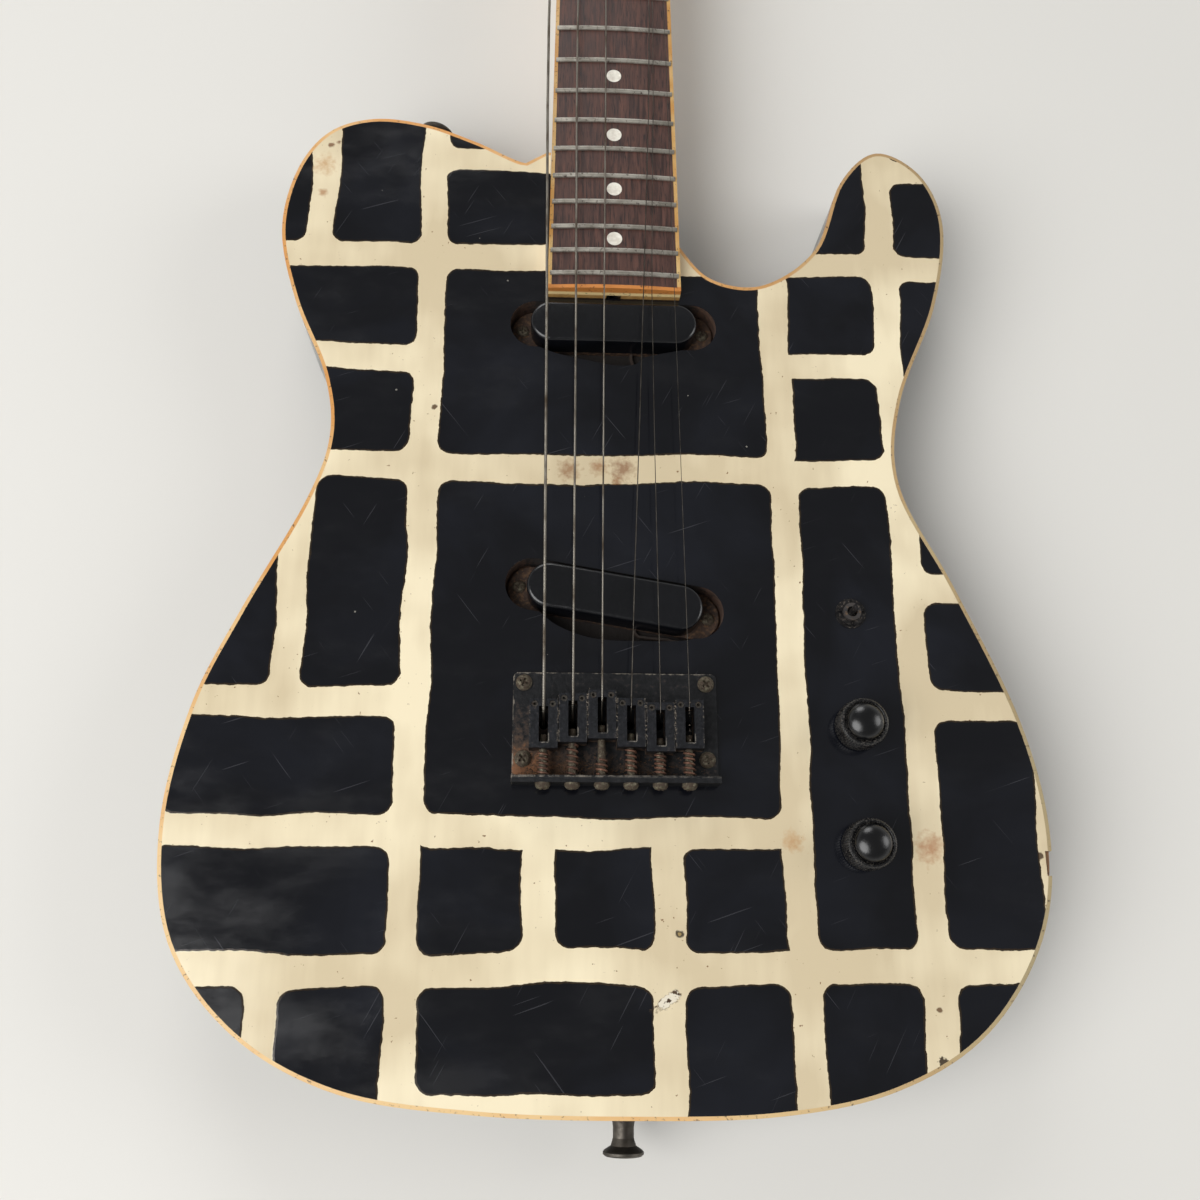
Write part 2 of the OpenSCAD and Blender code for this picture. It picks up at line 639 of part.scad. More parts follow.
module fretboard() {
    color([0.22, 0.12, 0.09]) difference() {
        intersection() {
            translate([0, 0, board_under_z]) linear_extrude(board_t + 2) board_plan(board_binding_w, nut_y);
            board_round(0);
        }
        for (n = [1:fret_count])
            translate([-board_end_w / 2, fret_y(n) - tang_w / 2 - close_gap, board_top_z - slot_depth])
                cube([board_end_w, tang_w + 2 * close_gap, slot_depth + 2]);
        for (p = dot_at) translate([p[0], p[1], board_face_z(p[0]) - dot_depth])
            cylinder(d = dot_d + 2 * close_gap, h = 4);
    }
}

module fretboard_binding() {
    color([0.9, 0.78, 0.5]) difference() {
        intersection() {
            translate([0, 0, board_under_z]) linear_extrude(board_t + 2) difference() {
                board_plan(0, nut_y);
                board_plan(board_binding_w, nut_y + 1);
            }
            board_round(0);
        }
        for (y = side_dot_at) translate([-board_w(y) / 2 - 1, y, side_dot_z]) rotate([0, 90, 0])
            cylinder(d = side_dot_d + 2 * close_gap, h = 1 + board_binding_w - 0.5);
    }
}

crown_w = 2.2;
tang_short = 1.2;                                    // tang cut back from each end of a fret
module frets() {
    crown = [for (a = [0:15:180]) [crown_h * sin(a), crown_w / 2 * cos(a)]];
    color([0.6, 0.6, 0.58]) for (n = [1:fret_count]) {
        w = board_w(fret_y(n)) - board_binding_w;
        translate([0, fret_y(n), board_top_z - board_r]) union() {
            intersection() {
                rotate([90, 0, 0]) rotate([0, 0, 90 - 8]) rotate_extrude(angle = 16, $fn = 256)
                    translate([board_r + 0.02, 0]) polygon(crown);
                translate([-w / 2, -crown_w, board_r - 4]) cube([w, 2 * crown_w, 8]);
            }
            intersection() {
                translate([tang_short - w / 2, -tang_w / 2, board_r - slot_depth + fit_gap])
                    cube([w - 2 * tang_short, tang_w, slot_depth + 0.6]);
                rotate([90, 0, 0]) translate([0, 0, -2]) cylinder(r = board_r + 0.4, h = 4, $fn = 256);
            }
        }
    }
}

module dot_inlays() {
    color([0.92, 0.9, 0.88]) {
        for (p = dot_at) translate([p[0], p[1], board_face_z(p[0]) - dot_depth + close_gap])
            cylinder(d = dot_d, h = dot_depth - 2 * close_gap);
        for (y = side_dot_at) translate([-board_w(y) / 2 + 0.04, y, side_dot_z]) rotate([0, 90, 0])
            cylinder(d = side_dot_d, h = board_binding_w - 0.6);
    }
}

module nut() {
    color([0.9, 0.87, 0.78]) difference() {
        intersection() {
            translate([-nut_w / 2, nut_y + close_gap, board_under_z])
                cube([nut_w, nut_l, board_t + nut_rise + 1]);
            translate([0, nut_y - 1, board_top_z - board_r]) rotate([-90, 0, 0])
                cylinder(r = board_r + nut_rise, h = nut_l + 3, $fn = 256);
        }
        for (i = [0:strings - 1]) translate([nut_x(i), nut_y - 1, nut_slot_z + gauges[i] / 2]) {
            rotate([-90, 0, 0]) cylinder(d = gauges[i] + 2 * wire_gap, h = nut_l + 3, $fn = 24);
            translate([-gauges[i] / 2 - wire_gap, 0, 0]) cube([gauges[i] + 2 * wire_gap, nut_l + 3, 5]);
        }
    }
}

tree_x = nut_x(4.5);
tree_y = nut_y + 62;
tree_z = head_face_z + 6.5;                          // underside of the tree's wings
tree_gap = 0.4;
module string_tree() {
    color([0.5, 0.5, 0.5]) translate([tree_x, tree_y, head_face_z]) {
        cylinder(d = 3.6, h = tree_z - head_face_z + 0.5);
        translate([0, 0, -8]) cylinder(d = 2.4, h = 9);
        difference() {
            translate([0, 0, tree_z - head_face_z]) linear_extrude(1.6) round_rect(2 * nut_pitch - 1, 5, 2);
            translate([0, 0, tree_z - head_face_z + 1.6]) cross_recess(3, 0.8);
        }
    }
}

// ---------- tuners ----------

module at_post(i) {
    translate([post_xy(i)[0], post_xy(i)[1], head_back_z]) rotate([0, 0, row_turn]) children();
}

key_shaft_d = 3.6;
key_z = -5.2;                                        // key axis below the headstock's back
wheel_d = 10.4;
worm_d = 4.6;
worm_y = (wheel_d + worm_d) / 2 + fit_gap;
housing_h = 10.5;
post_h = 13.5;                                       // post above the headstock's face

module tuner_housings() {
    color([0.16, 0.16, 0.16]) for (i = [0:strings - 1]) at_post(i) difference() {
        translate([-1, 2.3, -housing_h]) linear_extrude(housing_h) round_rect(17, 18.6, 2);
        translate([0, 0, key_z - 2.6]) cylinder(d = wheel_d + 0.8, h = 10);
        translate([-6.4, worm_y, key_z]) rotate([0, 90, 0]) cylinder(d = worm_d + 0.7, h = 12);
        translate([-20, worm_y, key_z]) rotate([0, 90, 0]) cylinder(d = key_shaft_d + 0.16, h = 27);
    }
}

module tuner_bushings() {
    color([0.45, 0.43, 0.4]) for (i = [0:strings - 1]) at_post(i) difference() {
        union() {
            translate([0, 0, 0.5]) cylinder(d = bushing_d, h = head_t);
            translate([0, 0, head_t]) cylinder(d = bushing_d + 4.2, h = 0.9);
            translate([0, 0, head_t]) cylinder(d = bushing_d + 2.6, h = 2.6, $fn = 6);
        }
        translate([0, 0, -1]) cylinder(d = post_d + 0.16, h = head_t + 8);
    }
}

module tuner_post(i) {
    z0 = head_t + post_h;
    color([0.6, 0.58, 0.55]) at_post(i) difference() {
        union() {
            translate([0, 0, key_z - 2]) cylinder(d = wheel_d, h = 4);
            rotate_extrude() polygon([[0, key_z], [post_d / 2, key_z], [post_d / 2, z0 - 10.5],
                [post_neck_d / 2, z0 - 9.5], [post_neck_d / 2, z0 - 3.5], [post_d / 2, z0 - 2.5],
                [post_d / 2, z0 - 0.6], [post_d / 2 - 0.6, z0], [0, z0]]);
        }
        translate([-10, 0, z0 - 6.5]) rotate([0, 90, 0]) cylinder(d = 1.7, h = 20, $fn = 24);
        translate([0, 0, z0 - 2]) cylinder(d = 1.6, h = 4, $fn = 24);
    }
}

button_r = [8.2, 9];                                 // half length and half width of a key's button
button_t = 5.6;
function bulge(v) = sign(v) * pow(abs(v), 0.75);     // squares off an ellipse a little
module tuner_key(i) {
    color([0.16, 0.16, 0.16]) at_post(i) translate([0, worm_y, key_z]) {
        translate([-18, 0, 0]) rotate([0, 90, 0]) cylinder(d = key_shaft_d, h = 24.5);
        translate([-4.5, 0, 0]) rotate([0, 90, 0]) cylinder(d = worm_d, h = 9);
        translate([-18, 0, 0]) rotate([0, 90, 0]) cylinder(d1 = 6.2, d2 = 5, h = 4.5);
        translate([-17 - button_r[0], 0, -button_t / 2]) linear_extrude(button_t)
            polygon([for (a = [0:10:350]) [button_r[0] * bulge(cos(a)), button_r[1] * bulge(sin(a))]]);
    }
}

// ---------- bridge ----------

module bridge_plate() {
    color([0.1, 0.1, 0.1]) difference() {
        union() {
            translate([0, (plate_front_y + plate_rear_y) / 2, body_t]) linear_extrude(plate_t)
                round_rect(plate_w, plate_l, 2);
            translate([-plate_w / 2, plate_rear_y, body_t]) cube([plate_w, lip_t, plate_t]);
            translate([-plate_w / 2, plate_rear_y, body_t]) cube([plate_w, lip_t, lip_h]);
        }
        for (i = [0:strings - 1]) {
            translate([saddle_x(i), string_hole_y, body_t - 1]) cylinder(d = 3.6, h = plate_t + 2);
            translate([saddle_x(i), plate_rear_y - 1, intonation_z]) rotate([-90, 0, 0])
                cylinder(d = intonation_d + 0.4, h = lip_t + 2);
        }
        for (x = [-mount_screw_x, mount_screw_x], y = mount_screw_y) translate([x, y, body_t - 1])
            cylinder(d = small_screw_d + 0.5, h = plate_t + 2);
    }
}

module bridge_screws() {
    color([0.5, 0.42, 0.32]) for (x = [-mount_screw_x, mount_screw_x], y = mount_screw_y)
        translate([x, y, plate_top_z]) rotate([0, 0, 30 * x / mount_screw_x + y])
            screw(6.2, 1.7, small_screw_d, 18);
}

module saddles() {
    color([0.13, 0.13, 0.14]) for (i = [0:strings - 1])
        translate([saddle_x(i), saddle_fronts[i], saddle_top_z - saddle_h]) difference() {
            translate([-saddle_w / 2, -saddle_l, 0]) cube([saddle_w, saddle_l, saddle_h]);
            translate([-slot_w / 2, slot_back - saddle_l, -1])
                cube([slot_w, saddle_l - slot_back - slot_front, saddle_h + 2]);
            for (s = [-1, 1]) translate([s * grub_x, -grub_back, -1])
                cylinder(d = grub_d + 2 * close_gap, h = saddle_h + 2, $fn = 32);
            translate([0, -slot_front - 1, saddle_h + gauges[i] / 2 - string_bite]) rotate([-90, 0, 0])
                cylinder(d = gauges[i] + 2 * wire_gap, h = slot_front + 2, $fn = 24);
            translate([0, -saddle_l - 1, intonation_z - saddle_top_z + saddle_h]) rotate([-90, 0, 0])
                cylinder(d = intonation_d + 2 * close_gap, h = slot_back + 2, $fn = 32);
        }
}

module saddle_height_screws() {
    color([0.3, 0.28, 0.25]) for (i = [0:strings - 1], s = [-1, 1])
        translate([saddle_x(i) + s * grub_x, saddle_fronts[i] - grub_back, plate_top_z]) difference() {
            cylinder(d = grub_d, h = saddle_top_z - plate_top_z - 0.4, $fn = 32);
            translate([0, 0, saddle_top_z - plate_top_z - 1.8]) cylinder(d = 1.3, h = 4, $fn = 6);
        }
}

module intonation_screws() {
    color([0.42, 0.36, 0.3]) for (i = [0:strings - 1])
        translate([saddle_x(i), plate_rear_y, intonation_z]) rotate([90, 0, 0]) {
            translate([0, 0, -(saddle_fronts[i] - 12.8 - plate_rear_y)])
                cylinder(d = intonation_d, h = saddle_fronts[i] - 12.8 - plate_rear_y + eps, $fn = 32);
            difference() {
                rotate_extrude() polygon([[0, 0], [2.8, 0], [2.8, 1.1], [2.2, 2], [1.2, 2.4], [0, 2.4]]);
                translate([0, 0, 2.4]) rotate([0, 0, 25 * i]) cross_recess(3, 1.1);
            }
        }
}

spring_r = 1.95;
spring_wire_r = 0.3;
spring_turns = 5;
broken_spring = 2;                                   // this one has lost half its turns
module saddle_springs() {
    y0 = plate_rear_y + lip_t + spring_wire_r + close_gap;
    color([0.45, 0.36, 0.28]) for (i = [0:strings - 1]) {
        whole = saddle_fronts[i] - saddle_l - y0 - spring_wire_r - close_gap;
        l = i == broken_spring ? whole * 0.45 : whole;
        turns = i == broken_spring ? 3 : spring_turns;
        sweep([for (a = [0:45:360 * turns])
            [saddle_x(i) + spring_r * cos(a + 60 * i), y0 + l * a / 360 / turns,
             intonation_z + spring_r * sin(a + 60 * i)]], spring_wire_r, 6);
    }
}

module string_ferrules() {
    color([0.55, 0.52, 0.48]) for (i = [0:strings - 1])
        translate([saddle_x(i), string_hole_y, 0]) difference() {
            cylinder(d = ferrule_d - 2 * close_gap, h = ferrule_l - close_gap);
            translate([0, 0, -1]) cylinder(d = ball_seat_d, h = 1 + ball_seat_h);
            translate([0, 0, -1]) cylinder(d = 2.4, h = ferrule_l + 2);
        }
}

// ---------- strings ----------

wrap_turns = 2.25;
wrap_z = head_face_z + post_h - 5;                   // first turn on the post
wrap_gap = 0.14;                                     // between the turns' centre circle and the post
wrap_steps = 12;
ball_d = 3.6;
ball_l = 3.2;
ball_z = ball_seat_h - ball_d / 2 - close_gap;
function lean(i, k) = let (t = (lean_y[k] - saddle_fronts[i]) / (nut_y - saddle_fronts[i]))
    saddle_x(i) * (1 - t) + nut_x(i) * t + string_lean[i][k];
function speaking_z(i, y) = let (t = (y - saddle_fronts[i]) / (nut_y - saddle_fronts[i]))
    saddle_string_z(i) * (1 - t) + nut_string_z(i) * t;

// The whole route of one string, from the ball end in its ferrule to the last turn on its post
function string_route(i) = let (
    x = saddle_x(i), f = saddle_fronts[i], z = saddle_string_z(i), g = gauges[i],
    r = post_neck_d / 2 + g / 2 + wrap_gap,
    p = post_xy(i),
    stations = [for (k = [0:len(lean_y) - 1]) [lean(i, k), lean_y[k], speaking_z(i, lean_y[k])]],
    at_nut = stations[len(stations) - 1],
    speaking = curve(concat([[x, f - 60, z], [x, f + 1, z]], stations,
                            [2 * at_nut - stations[len(stations) - 2]]), 3),
    tree_t = (tree_y - at_nut[1]) / (p[1] - at_nut[1]),
    under_tree = i < 4 ? [] :
        [[at_nut[0] * (1 - tree_t) + (p[0] + r) * tree_t, tree_y, tree_z - g / 2 - tree_gap]],
    wraps = [for (a = [0:360 / wrap_steps:360 * wrap_turns])
        [p[0] + r * cos(a), p[1] + r * sin(a), wrap_z - (g + 0.08) * a / 360]])
    concat([[x, string_hole_y, ball_z], [x, string_hole_y, body_t - 4], [x, string_hole_y, z - 8.6],
            [x, string_hole_y + 0.5, z - 6.4], [x, f - 4.8, z - 1.8], [x, f - 3.7, z - 0.6],
            [x, f - 2.9, z - 0.1], [x, f - 1.8, z]],
           speaking, under_tree, wraps);

module string_wire(i) {
    color(i < 3 ? [0.55, 0.5, 0.42] : [0.65, 0.65, 0.66]) {
        sweep(string_route(i), gauges[i] / 2, 8);
        translate([saddle_x(i), string_hole_y - ball_l / 2, ball_z]) rotate([-90, 0, 0])
            cylinder(d = ball_d, h = ball_l, $fn = 24);
    }
}

// ---------- pickups ----------

module at_pickup(k) {
    translate([0, k == 0 ? neck_pickup_y : bridge_pickup_y, body_t - rout_depth])
        rotate([0, 0, k == 0 ? 0 : bridge_pickup_turn]) children();
}

module pickup_cover() {
    color([0.05, 0.05, 0.055]) translate([0, 0, base_t]) difference() {
        union() {
            linear_extrude(cover_h - 1) capsule(pickup_l, pickup_w);
            translate([0, 0, cover_h - 1]) linear_extrude(0.5) capsule(pickup_l - 0.5, pickup_w - 0.5);
            translate([0, 0, cover_h - 0.5]) linear_extrude(0.5) capsule(pickup_l - 1.6, pickup_w - 1.6);
        }
        translate([0, 0, -1]) linear_extrude(cover_h - cover_wall + 1)
            capsule(pickup_l - 2 * cover_wall, pickup_w - 2 * cover_wall);
    }
}

module neck_pickup_cover() {
    at_pickup(0) pickup_cover();
}

module bridge_pickup_cover() {
    at_pickup(1) pickup_cover();
}

module pickup_bases() {
    color([0.42, 0.28, 0.18]) for (k = [0, 1]) at_pickup(k) linear_extrude(base_t) difference() {
        capsule(base_l, pickup_w);
        for (s = [-1, 1]) translate([s * ear_x, 0]) circle(d = small_screw_d + 2 * close_gap);
        translate([0, -pickup_w / 4]) circle(d = 3);
    }
}

bobbin_l = pickup_l - 2 * cover_wall - 2;
bobbin_w = pickup_w - 2 * cover_wall - 1;
bobbin_h = cover_h - cover_wall - 0.4;
magnet_l = bobbin_l - bobbin_w;
magnet_w = 3.2;
core_w = magnet_w + 3;

module pickup_bobbins() {
    color([0.1, 0.1, 0.1]) for (k = [0, 1]) at_pickup(k) translate([0, 0, base_t]) difference() {
        union() {
            linear_extrude(1) capsule(bobbin_l, bobbin_w);
            linear_extrude(bobbin_h) capsule(magnet_l + core_w, core_w);
            translate([0, 0, bobbin_h - 1]) linear_extrude(1) capsule(bobbin_l, bobbin_w);
        }
        translate([-magnet_l / 2 - close_gap, -magnet_w / 2 - close_gap, -1])
            cube([magnet_l + 2 * close_gap, magnet_w + 2 * close_gap, bobbin_h + 2]);
    }
}

module pickup_coils() {
    color([0.6, 0.3, 0.15]) for (k = [0, 1]) at_pickup(k) translate([0, 0, base_t + 1 + close_gap])
        linear_extrude(bobbin_h - 2 - 2 * close_gap) difference() {
            capsule(bobbin_l - 0.8, bobbin_w - 0.8);
            capsule(magnet_l + core_w + 2 * close_gap, core_w + 2 * close_gap);
        }
}

module pickup_magnets() {
    color([0.3, 0.3, 0.32]) for (k = [0, 1]) at_pickup(k) translate([-magnet_l / 2, -magnet_w / 2, base_t])
        cube([magnet_l, magnet_w, bobbin_h]);
}

// ---------- controls ----------

face_z = body_t;
nut_h = 2.2;
washer_t = 0.6;
bushing_top = 3.6;                                   // bushing above the face

module control_pots() {
    color([0.6, 0.58, 0.52]) for (y = [volume_y, tone_y])
        translate([control_x, y, face_z - cavity_wall]) difference() {
            union() {
                translate([0, 0, -9]) cylinder(d = 16.5, h = 9);
                cylinder(d = 7, h = cavity_wall + bushing_top);
                translate([-5, -12.5, -7.6]) cube([10, 6, 1.6]);
            }
            translate([0, 0, -7.5]) cylinder(d = 13.5, h = 5.5);
            translate([0, 0, -7.6]) cylinder(d = shaft_d + 0.14, h = 30);
        }
}

// Shaft with the wiper disc that holds it in its pot
module control_shaft(y) {
    color([0.7, 0.68, 0.6]) translate([control_x, y, face_z - cavity_wall - 7]) {
        cylinder(d = shaft_d, h = 7 + cavity_wall + knob_h - 3.5);
        translate([0, 0, 1]) cylinder(d = shaft_d + 5, h = 1.6);
    }
}

module volume_shaft() {
    control_shaft(volume_y);
}

module tone_shaft() {
    control_shaft(tone_y);
}

knob_lift = 0.8;
module knob(y) {
    r = knob_d / 2;
    wall_h = knob_h * 0.72;
    color([0.04, 0.04, 0.04]) translate([control_x, y, face_z + knob_lift]) difference() {
        rotate_extrude() polygon(concat(
            [[0, 0], [r - 0.4, 0], [r, 0.4], [r, wall_h - 0.8], [r - 0.8, wall_h], [r - 1.8, wall_h],
             [r - 2, wall_h - 0.5], [r - 2.3, wall_h]],
            [for (a = [0:10:90]) [(r - 2.5) * cos(a), wall_h + (knob_h - wall_h) * sin(a)]]));
        translate([0, 0, -1]) cylinder(d = 13.4, h = 1 + bushing_top + 0.6);
        translate([0, 0, -1]) cylinder(d = shaft_d + 2 * close_gap, h = knob_h - 2.4);
    }
}

module volume_knob() {
    knob(volume_y);
}

module tone_knob() {
    knob(tone_y);
}

lever_pivot_z = face_z + 0.6;
pivot_h = lever_pivot_z - face_z + cavity_wall;      // pivot above the cavity's ceiling
lever_ball_d = 4.5;
lever_l = 9.5;                                       // bare lever above its pivot
module selector_switch() {
    color([0.25, 0.25, 0.27]) translate([control_x, switch_y, face_z - cavity_wall]) difference() {
        union() {
            translate([-6.5, -6.5, -11]) cube([13, 13, 11]);
            cylinder(d = 7, h = cavity_wall + bushing_top);
            for (s = [-1, 0, 1]) translate([-1, s * 4.4 - 0.4, -14.5]) cube([2, 0.8, 4]);
        }
        translate([0, 0, -8]) cylinder(d = 8, h = 6.5);
        translate([0, 0, -8]) cylinder(d = 5.6, h = 8 + pivot_h - 1.6);
        cylinder(d = lever_ball_d + 0.14, h = pivot_h + 0.2);
        translate([0, 0, pivot_h + 0.2])
            cylinder(d1 = lever_ball_d + 0.14, d2 = 4.1, h = cavity_wall + bushing_top - pivot_h);
    }
}

module selector_lever() {
    color([0.3, 0.3, 0.3]) translate([control_x, switch_y, lever_pivot_z]) {
        sphere(d = lever_ball_d);
        translate([0, 0, -7]) cylinder(d = 1.8, h = 7);
        cylinder(d1 = 1.9, d2 = 2.5, h = lever_l);
    }
}

// Nuts with their washers: both pots, the selector and the output jack
module control_nuts() {
    color([0.35, 0.34, 0.33]) {
        for (y = [volume_y, tone_y]) translate([control_x, y, face_z]) hex_nut(10, 12, 7);
        translate([control_x, switch_y, face_z]) difference() {
            union() {
                cylinder(d = 12, h = washer_t);
                translate([0, 0, washer_t]) cylinder(d = 10.4, h = nut_h - 0.6);
            }
            translate([0, 0, -1]) cylinder(d = 7 + 2 * close_gap, h = 9);
            for (a = [0, 90]) rotate([0, 0, a]) translate([-6, -0.6, washer_t + nut_h - 1.2])
                cube([12, 1.2, 3]);
        }
        translate([jack_floor_x + jack_plate_t, jack_y, jack_z]) rotate([0, 90, 0])
            hex_nut(12.7, 14, jack_sleeve_d);
    }
}

module hex_nut(across, washer_d, hole_d) {
    difference() {
        union() {
            cylinder(d = washer_d, h = washer_t);
            cylinder(d = across / cos(30), h = washer_t + nut_h, $fn = 6);
        }
        translate([0, 0, -1]) cylinder(d = hole_d + 2 * close_gap, h = 9);
    }
}

// Leads: each route is its own list of points, from one solder joint to the next
wire_r = 0.7;
solder_gap = 0.25;
function pickup_point(k, x, y) = let (a = k == 0 ? 0 : bridge_pickup_turn)
    [x * cos(a) - y * sin(a), (k == 0 ? neck_pickup_y : bridge_pickup_y) + x * sin(a) + y * cos(a), lead_z];
function lug(y, s) = [control_x + 3 * s, y - 10.5, face_z - cavity_wall - 7.6 - solder_gap];
function pot_back(x, y) = [control_x + x, y, face_z - cavity_wall - 9 - solder_gap];
function terminal(s) = [control_x, switch_y + 4.4 * s, face_z - cavity_wall - 14.5 - solder_gap];
function contact(s) = [jack_floor_x - 24 - solder_gap, jack_y, jack_z + 5.4 * s];
function neck_drilling(t, drop) = let (p = neck_lead_from * (1 - t) + neck_lead_to * t)
    [p[0], p[1], lead_z - drop];
neck_side = -pickup_w / 2 - solder_gap;

function lead_routes() = [
    [pickup_point(0, 8, neck_side), pickup_point(0, 8, neck_side - 3), neck_drilling(0.04, 0),
     neck_drilling(0.1, 0), neck_drilling(0.9, 0), neck_drilling(0.97, 1), terminal(1) + [-1.5, 9, 4],
     terminal(1) + [0, 3, -1], terminal(1) + [0, 0.6, -1.6], terminal(1)],
    [pickup_point(1, 10, neck_side), pickup_point(1, 12, neck_side - 2.4),
     [21, bridge_lead_from[1] + 1.2, lead_z], [30, bridge_lead_from[1], lead_z],
     [control_x - 16.5, bridge_lead_from[1], lead_z],
     [control_x - 11.5, bridge_lead_from[1] + 0.6, lead_z - 5], [control_x - 6, switch_y - 7, face_z - 20],
     terminal(-1) + [-0.6, -0.6, -1.6], terminal(-1)],
    [terminal(0), terminal(0) - [0, 0, 3], [control_x + 4, switch_y - 12, face_z - 28],
     [control_x + 5, volume_y + 14, face_z - 30], [control_x + 4, volume_y - 4, face_z - 25],
     lug(volume_y, 1) - [0, 0, 3], lug(volume_y, 1)],
    [lug(volume_y, -1), lug(volume_y, -1) - [0, 0, 4], [control_x - 5, volume_y - 18, face_z - 24],
     [control_x - 7, tone_y + 14, face_z - 29], [control_x - 8, tone_y - 2, face_z - 29],
     [control_x - 5, tone_y - 12, face_z - 25],
     lug(tone_y, -1) - [1, 1.4, 4], lug(tone_y, -1) - [0.8, 1.2, 0]],
    [lug(volume_y, 0), lug(volume_y, 0) - [0, 0, 4], [control_x + 4, volume_y - 20, face_z - 23],
     [control_x + 10, jack_y + 10, jack_z - 2], [control_x + 16, jack_y + 2, jack_z],
     [control_x + 26, jack_y, jack_z + 3.5],
     contact(1) - [8, 0, 0], contact(1)],
    [pot_back(2, volume_y), pot_back(2, volume_y) - [0, 0, 5], [control_x + 8, volume_y - 16, jack_z - 8],
     [control_x + 11, jack_y + 12, jack_z - 10], [control_x + 17, jack_y + 1, jack_z - 7], contact(-1) - [8, 0, 0],
     contact(-1)],
    [[ground_from[0], ground_from[1], face_z - solder_gap], [ground_from[0], ground_from[1], ground_z + 2.4],
     [ground_from[0] + 2.4, ground_from[1], ground_z], [ground_from[0] + 8, ground_from[1], ground_z],
     [control_x - 16.5, ground_from[1], ground_z], [control_x - 11.5, ground_from[1], ground_z - 6],
     [control_x - 8, volume_y + 2, face_z - 18], pot_back(-4, volume_y) - [0, 0, 4], pot_back(-4, volume_y)]];

module wiring() {
    color([0.75, 0.72, 0.6]) {
        for (p = lead_routes())
            sweep(curve(concat([2 * p[0] - p[1]], p, [2 * p[len(p) - 1] - p[len(p) - 2]]), 2), wire_r, 6);
        // tone capacitor with its two legs
        translate([control_x + 1.4, tone_y - 6.3, face_z - cavity_wall - 15]) {
            rotate([90, 0, 0]) cylinder(d = 9, h = 3);
            translate([2.4, -0.6, 3]) cylinder(d = 0.7, h = 3 - solder_gap);
            translate([-1.4, -2.4, 3]) cylinder(d = 0.7, h = 4.4 - solder_gap);
        }
    }
}

// ---------- what is drawn ----------

body();
front_binding();
neck();
fretboard();
fretboard_binding();
frets();
dot_inlays();
nut();
truss_rod();
string_tree();
neck_plate();
neck_screws();
string_ferrules();
bridge_plate();
bridge_screws();
saddles();
saddle_height_screws();
intonation_screws();
saddle_springs();
neck_pickup_cover();
bridge_pickup_cover();
pickup_bases();
pickup_bobbins();
pickup_coils();
pickup_magnets();
selector_switch();
selector_lever();
control_nuts();
volume_knob();
tone_knob();
volume_shaft();
tone_shaft();
control_pots();
control_cover();
small_screws();
jack_plate();
output_jack();
strap_buttons();
strap_button_screws();
tuner_housings();
tuner_bushings();
wiring();
for (i = [0:strings - 1]) {
    string_wire(i);
    tuner_key(i);
    tuner_post(i);
}
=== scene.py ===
"""Looks for a worn, broken solid-body electric guitar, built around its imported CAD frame."""

from __future__ import annotations

import logging
import math
import random
from dataclasses import dataclass
from enum import Enum
from functools import lru_cache
from typing import Any, Protocol

import bmesh
import bpy
from mathutils import Matrix, Vector


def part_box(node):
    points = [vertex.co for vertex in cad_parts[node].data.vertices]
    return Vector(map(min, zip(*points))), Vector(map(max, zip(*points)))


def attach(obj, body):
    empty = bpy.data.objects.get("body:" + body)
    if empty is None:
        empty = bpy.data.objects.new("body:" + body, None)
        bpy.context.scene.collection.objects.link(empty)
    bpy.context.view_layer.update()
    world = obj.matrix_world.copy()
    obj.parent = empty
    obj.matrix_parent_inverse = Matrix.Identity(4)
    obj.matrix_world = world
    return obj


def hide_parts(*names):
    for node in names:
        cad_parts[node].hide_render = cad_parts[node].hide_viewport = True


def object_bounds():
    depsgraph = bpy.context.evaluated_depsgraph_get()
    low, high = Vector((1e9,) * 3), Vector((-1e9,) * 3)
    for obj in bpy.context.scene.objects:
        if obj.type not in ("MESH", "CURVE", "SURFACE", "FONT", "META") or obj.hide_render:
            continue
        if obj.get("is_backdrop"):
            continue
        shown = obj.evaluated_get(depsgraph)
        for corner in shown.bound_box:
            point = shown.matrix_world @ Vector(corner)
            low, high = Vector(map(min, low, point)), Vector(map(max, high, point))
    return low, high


Pair = tuple[float, float]
Triple = tuple[float, float, float]
Mesh = bmesh.types.BMesh

MM = 0.001
# millimetres: heights above the floor, the strings' spacing at the bridge, and each saddle's front end
FACE = 44.0
PLATE_TOP = 45.8
SADDLE_TOP = 55.5
LIP = -27.4
PITCH = 10.8
FRONTS = (0.4, 2.6, 4.0, 1.0, -0.6, 0.6)
LOG = logging.getLogger("guitar")

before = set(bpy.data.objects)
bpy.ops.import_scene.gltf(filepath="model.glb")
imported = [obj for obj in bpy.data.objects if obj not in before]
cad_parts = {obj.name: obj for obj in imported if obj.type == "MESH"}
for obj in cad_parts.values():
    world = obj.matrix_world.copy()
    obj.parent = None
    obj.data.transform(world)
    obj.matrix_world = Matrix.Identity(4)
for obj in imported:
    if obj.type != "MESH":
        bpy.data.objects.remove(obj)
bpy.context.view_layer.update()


def lane(string: int) -> float:
    """Where a string, counted from 0 for the lowest, crosses the bridge along X."""
    return (string - 2.5) * PITCH


# ---- materials

def linear(colour: str) -> tuple[float, float, float, float]:
    """Turns an sRGB hex colour into the linear colour that a shader takes.

    Args:
        colour: Six hex digits after a hash sign.

    Returns:
        Red, green, blue and an alpha of one.
    """
    parts = [int(colour[i:i + 2], 16) / 255 for i in (1, 3, 5)]
    lit = [c / 12.92 if c <= 0.04045 else ((c + 0.055) / 1.055) ** 2.4 for c in parts]
    return lit[0], lit[1], lit[2], 1.0


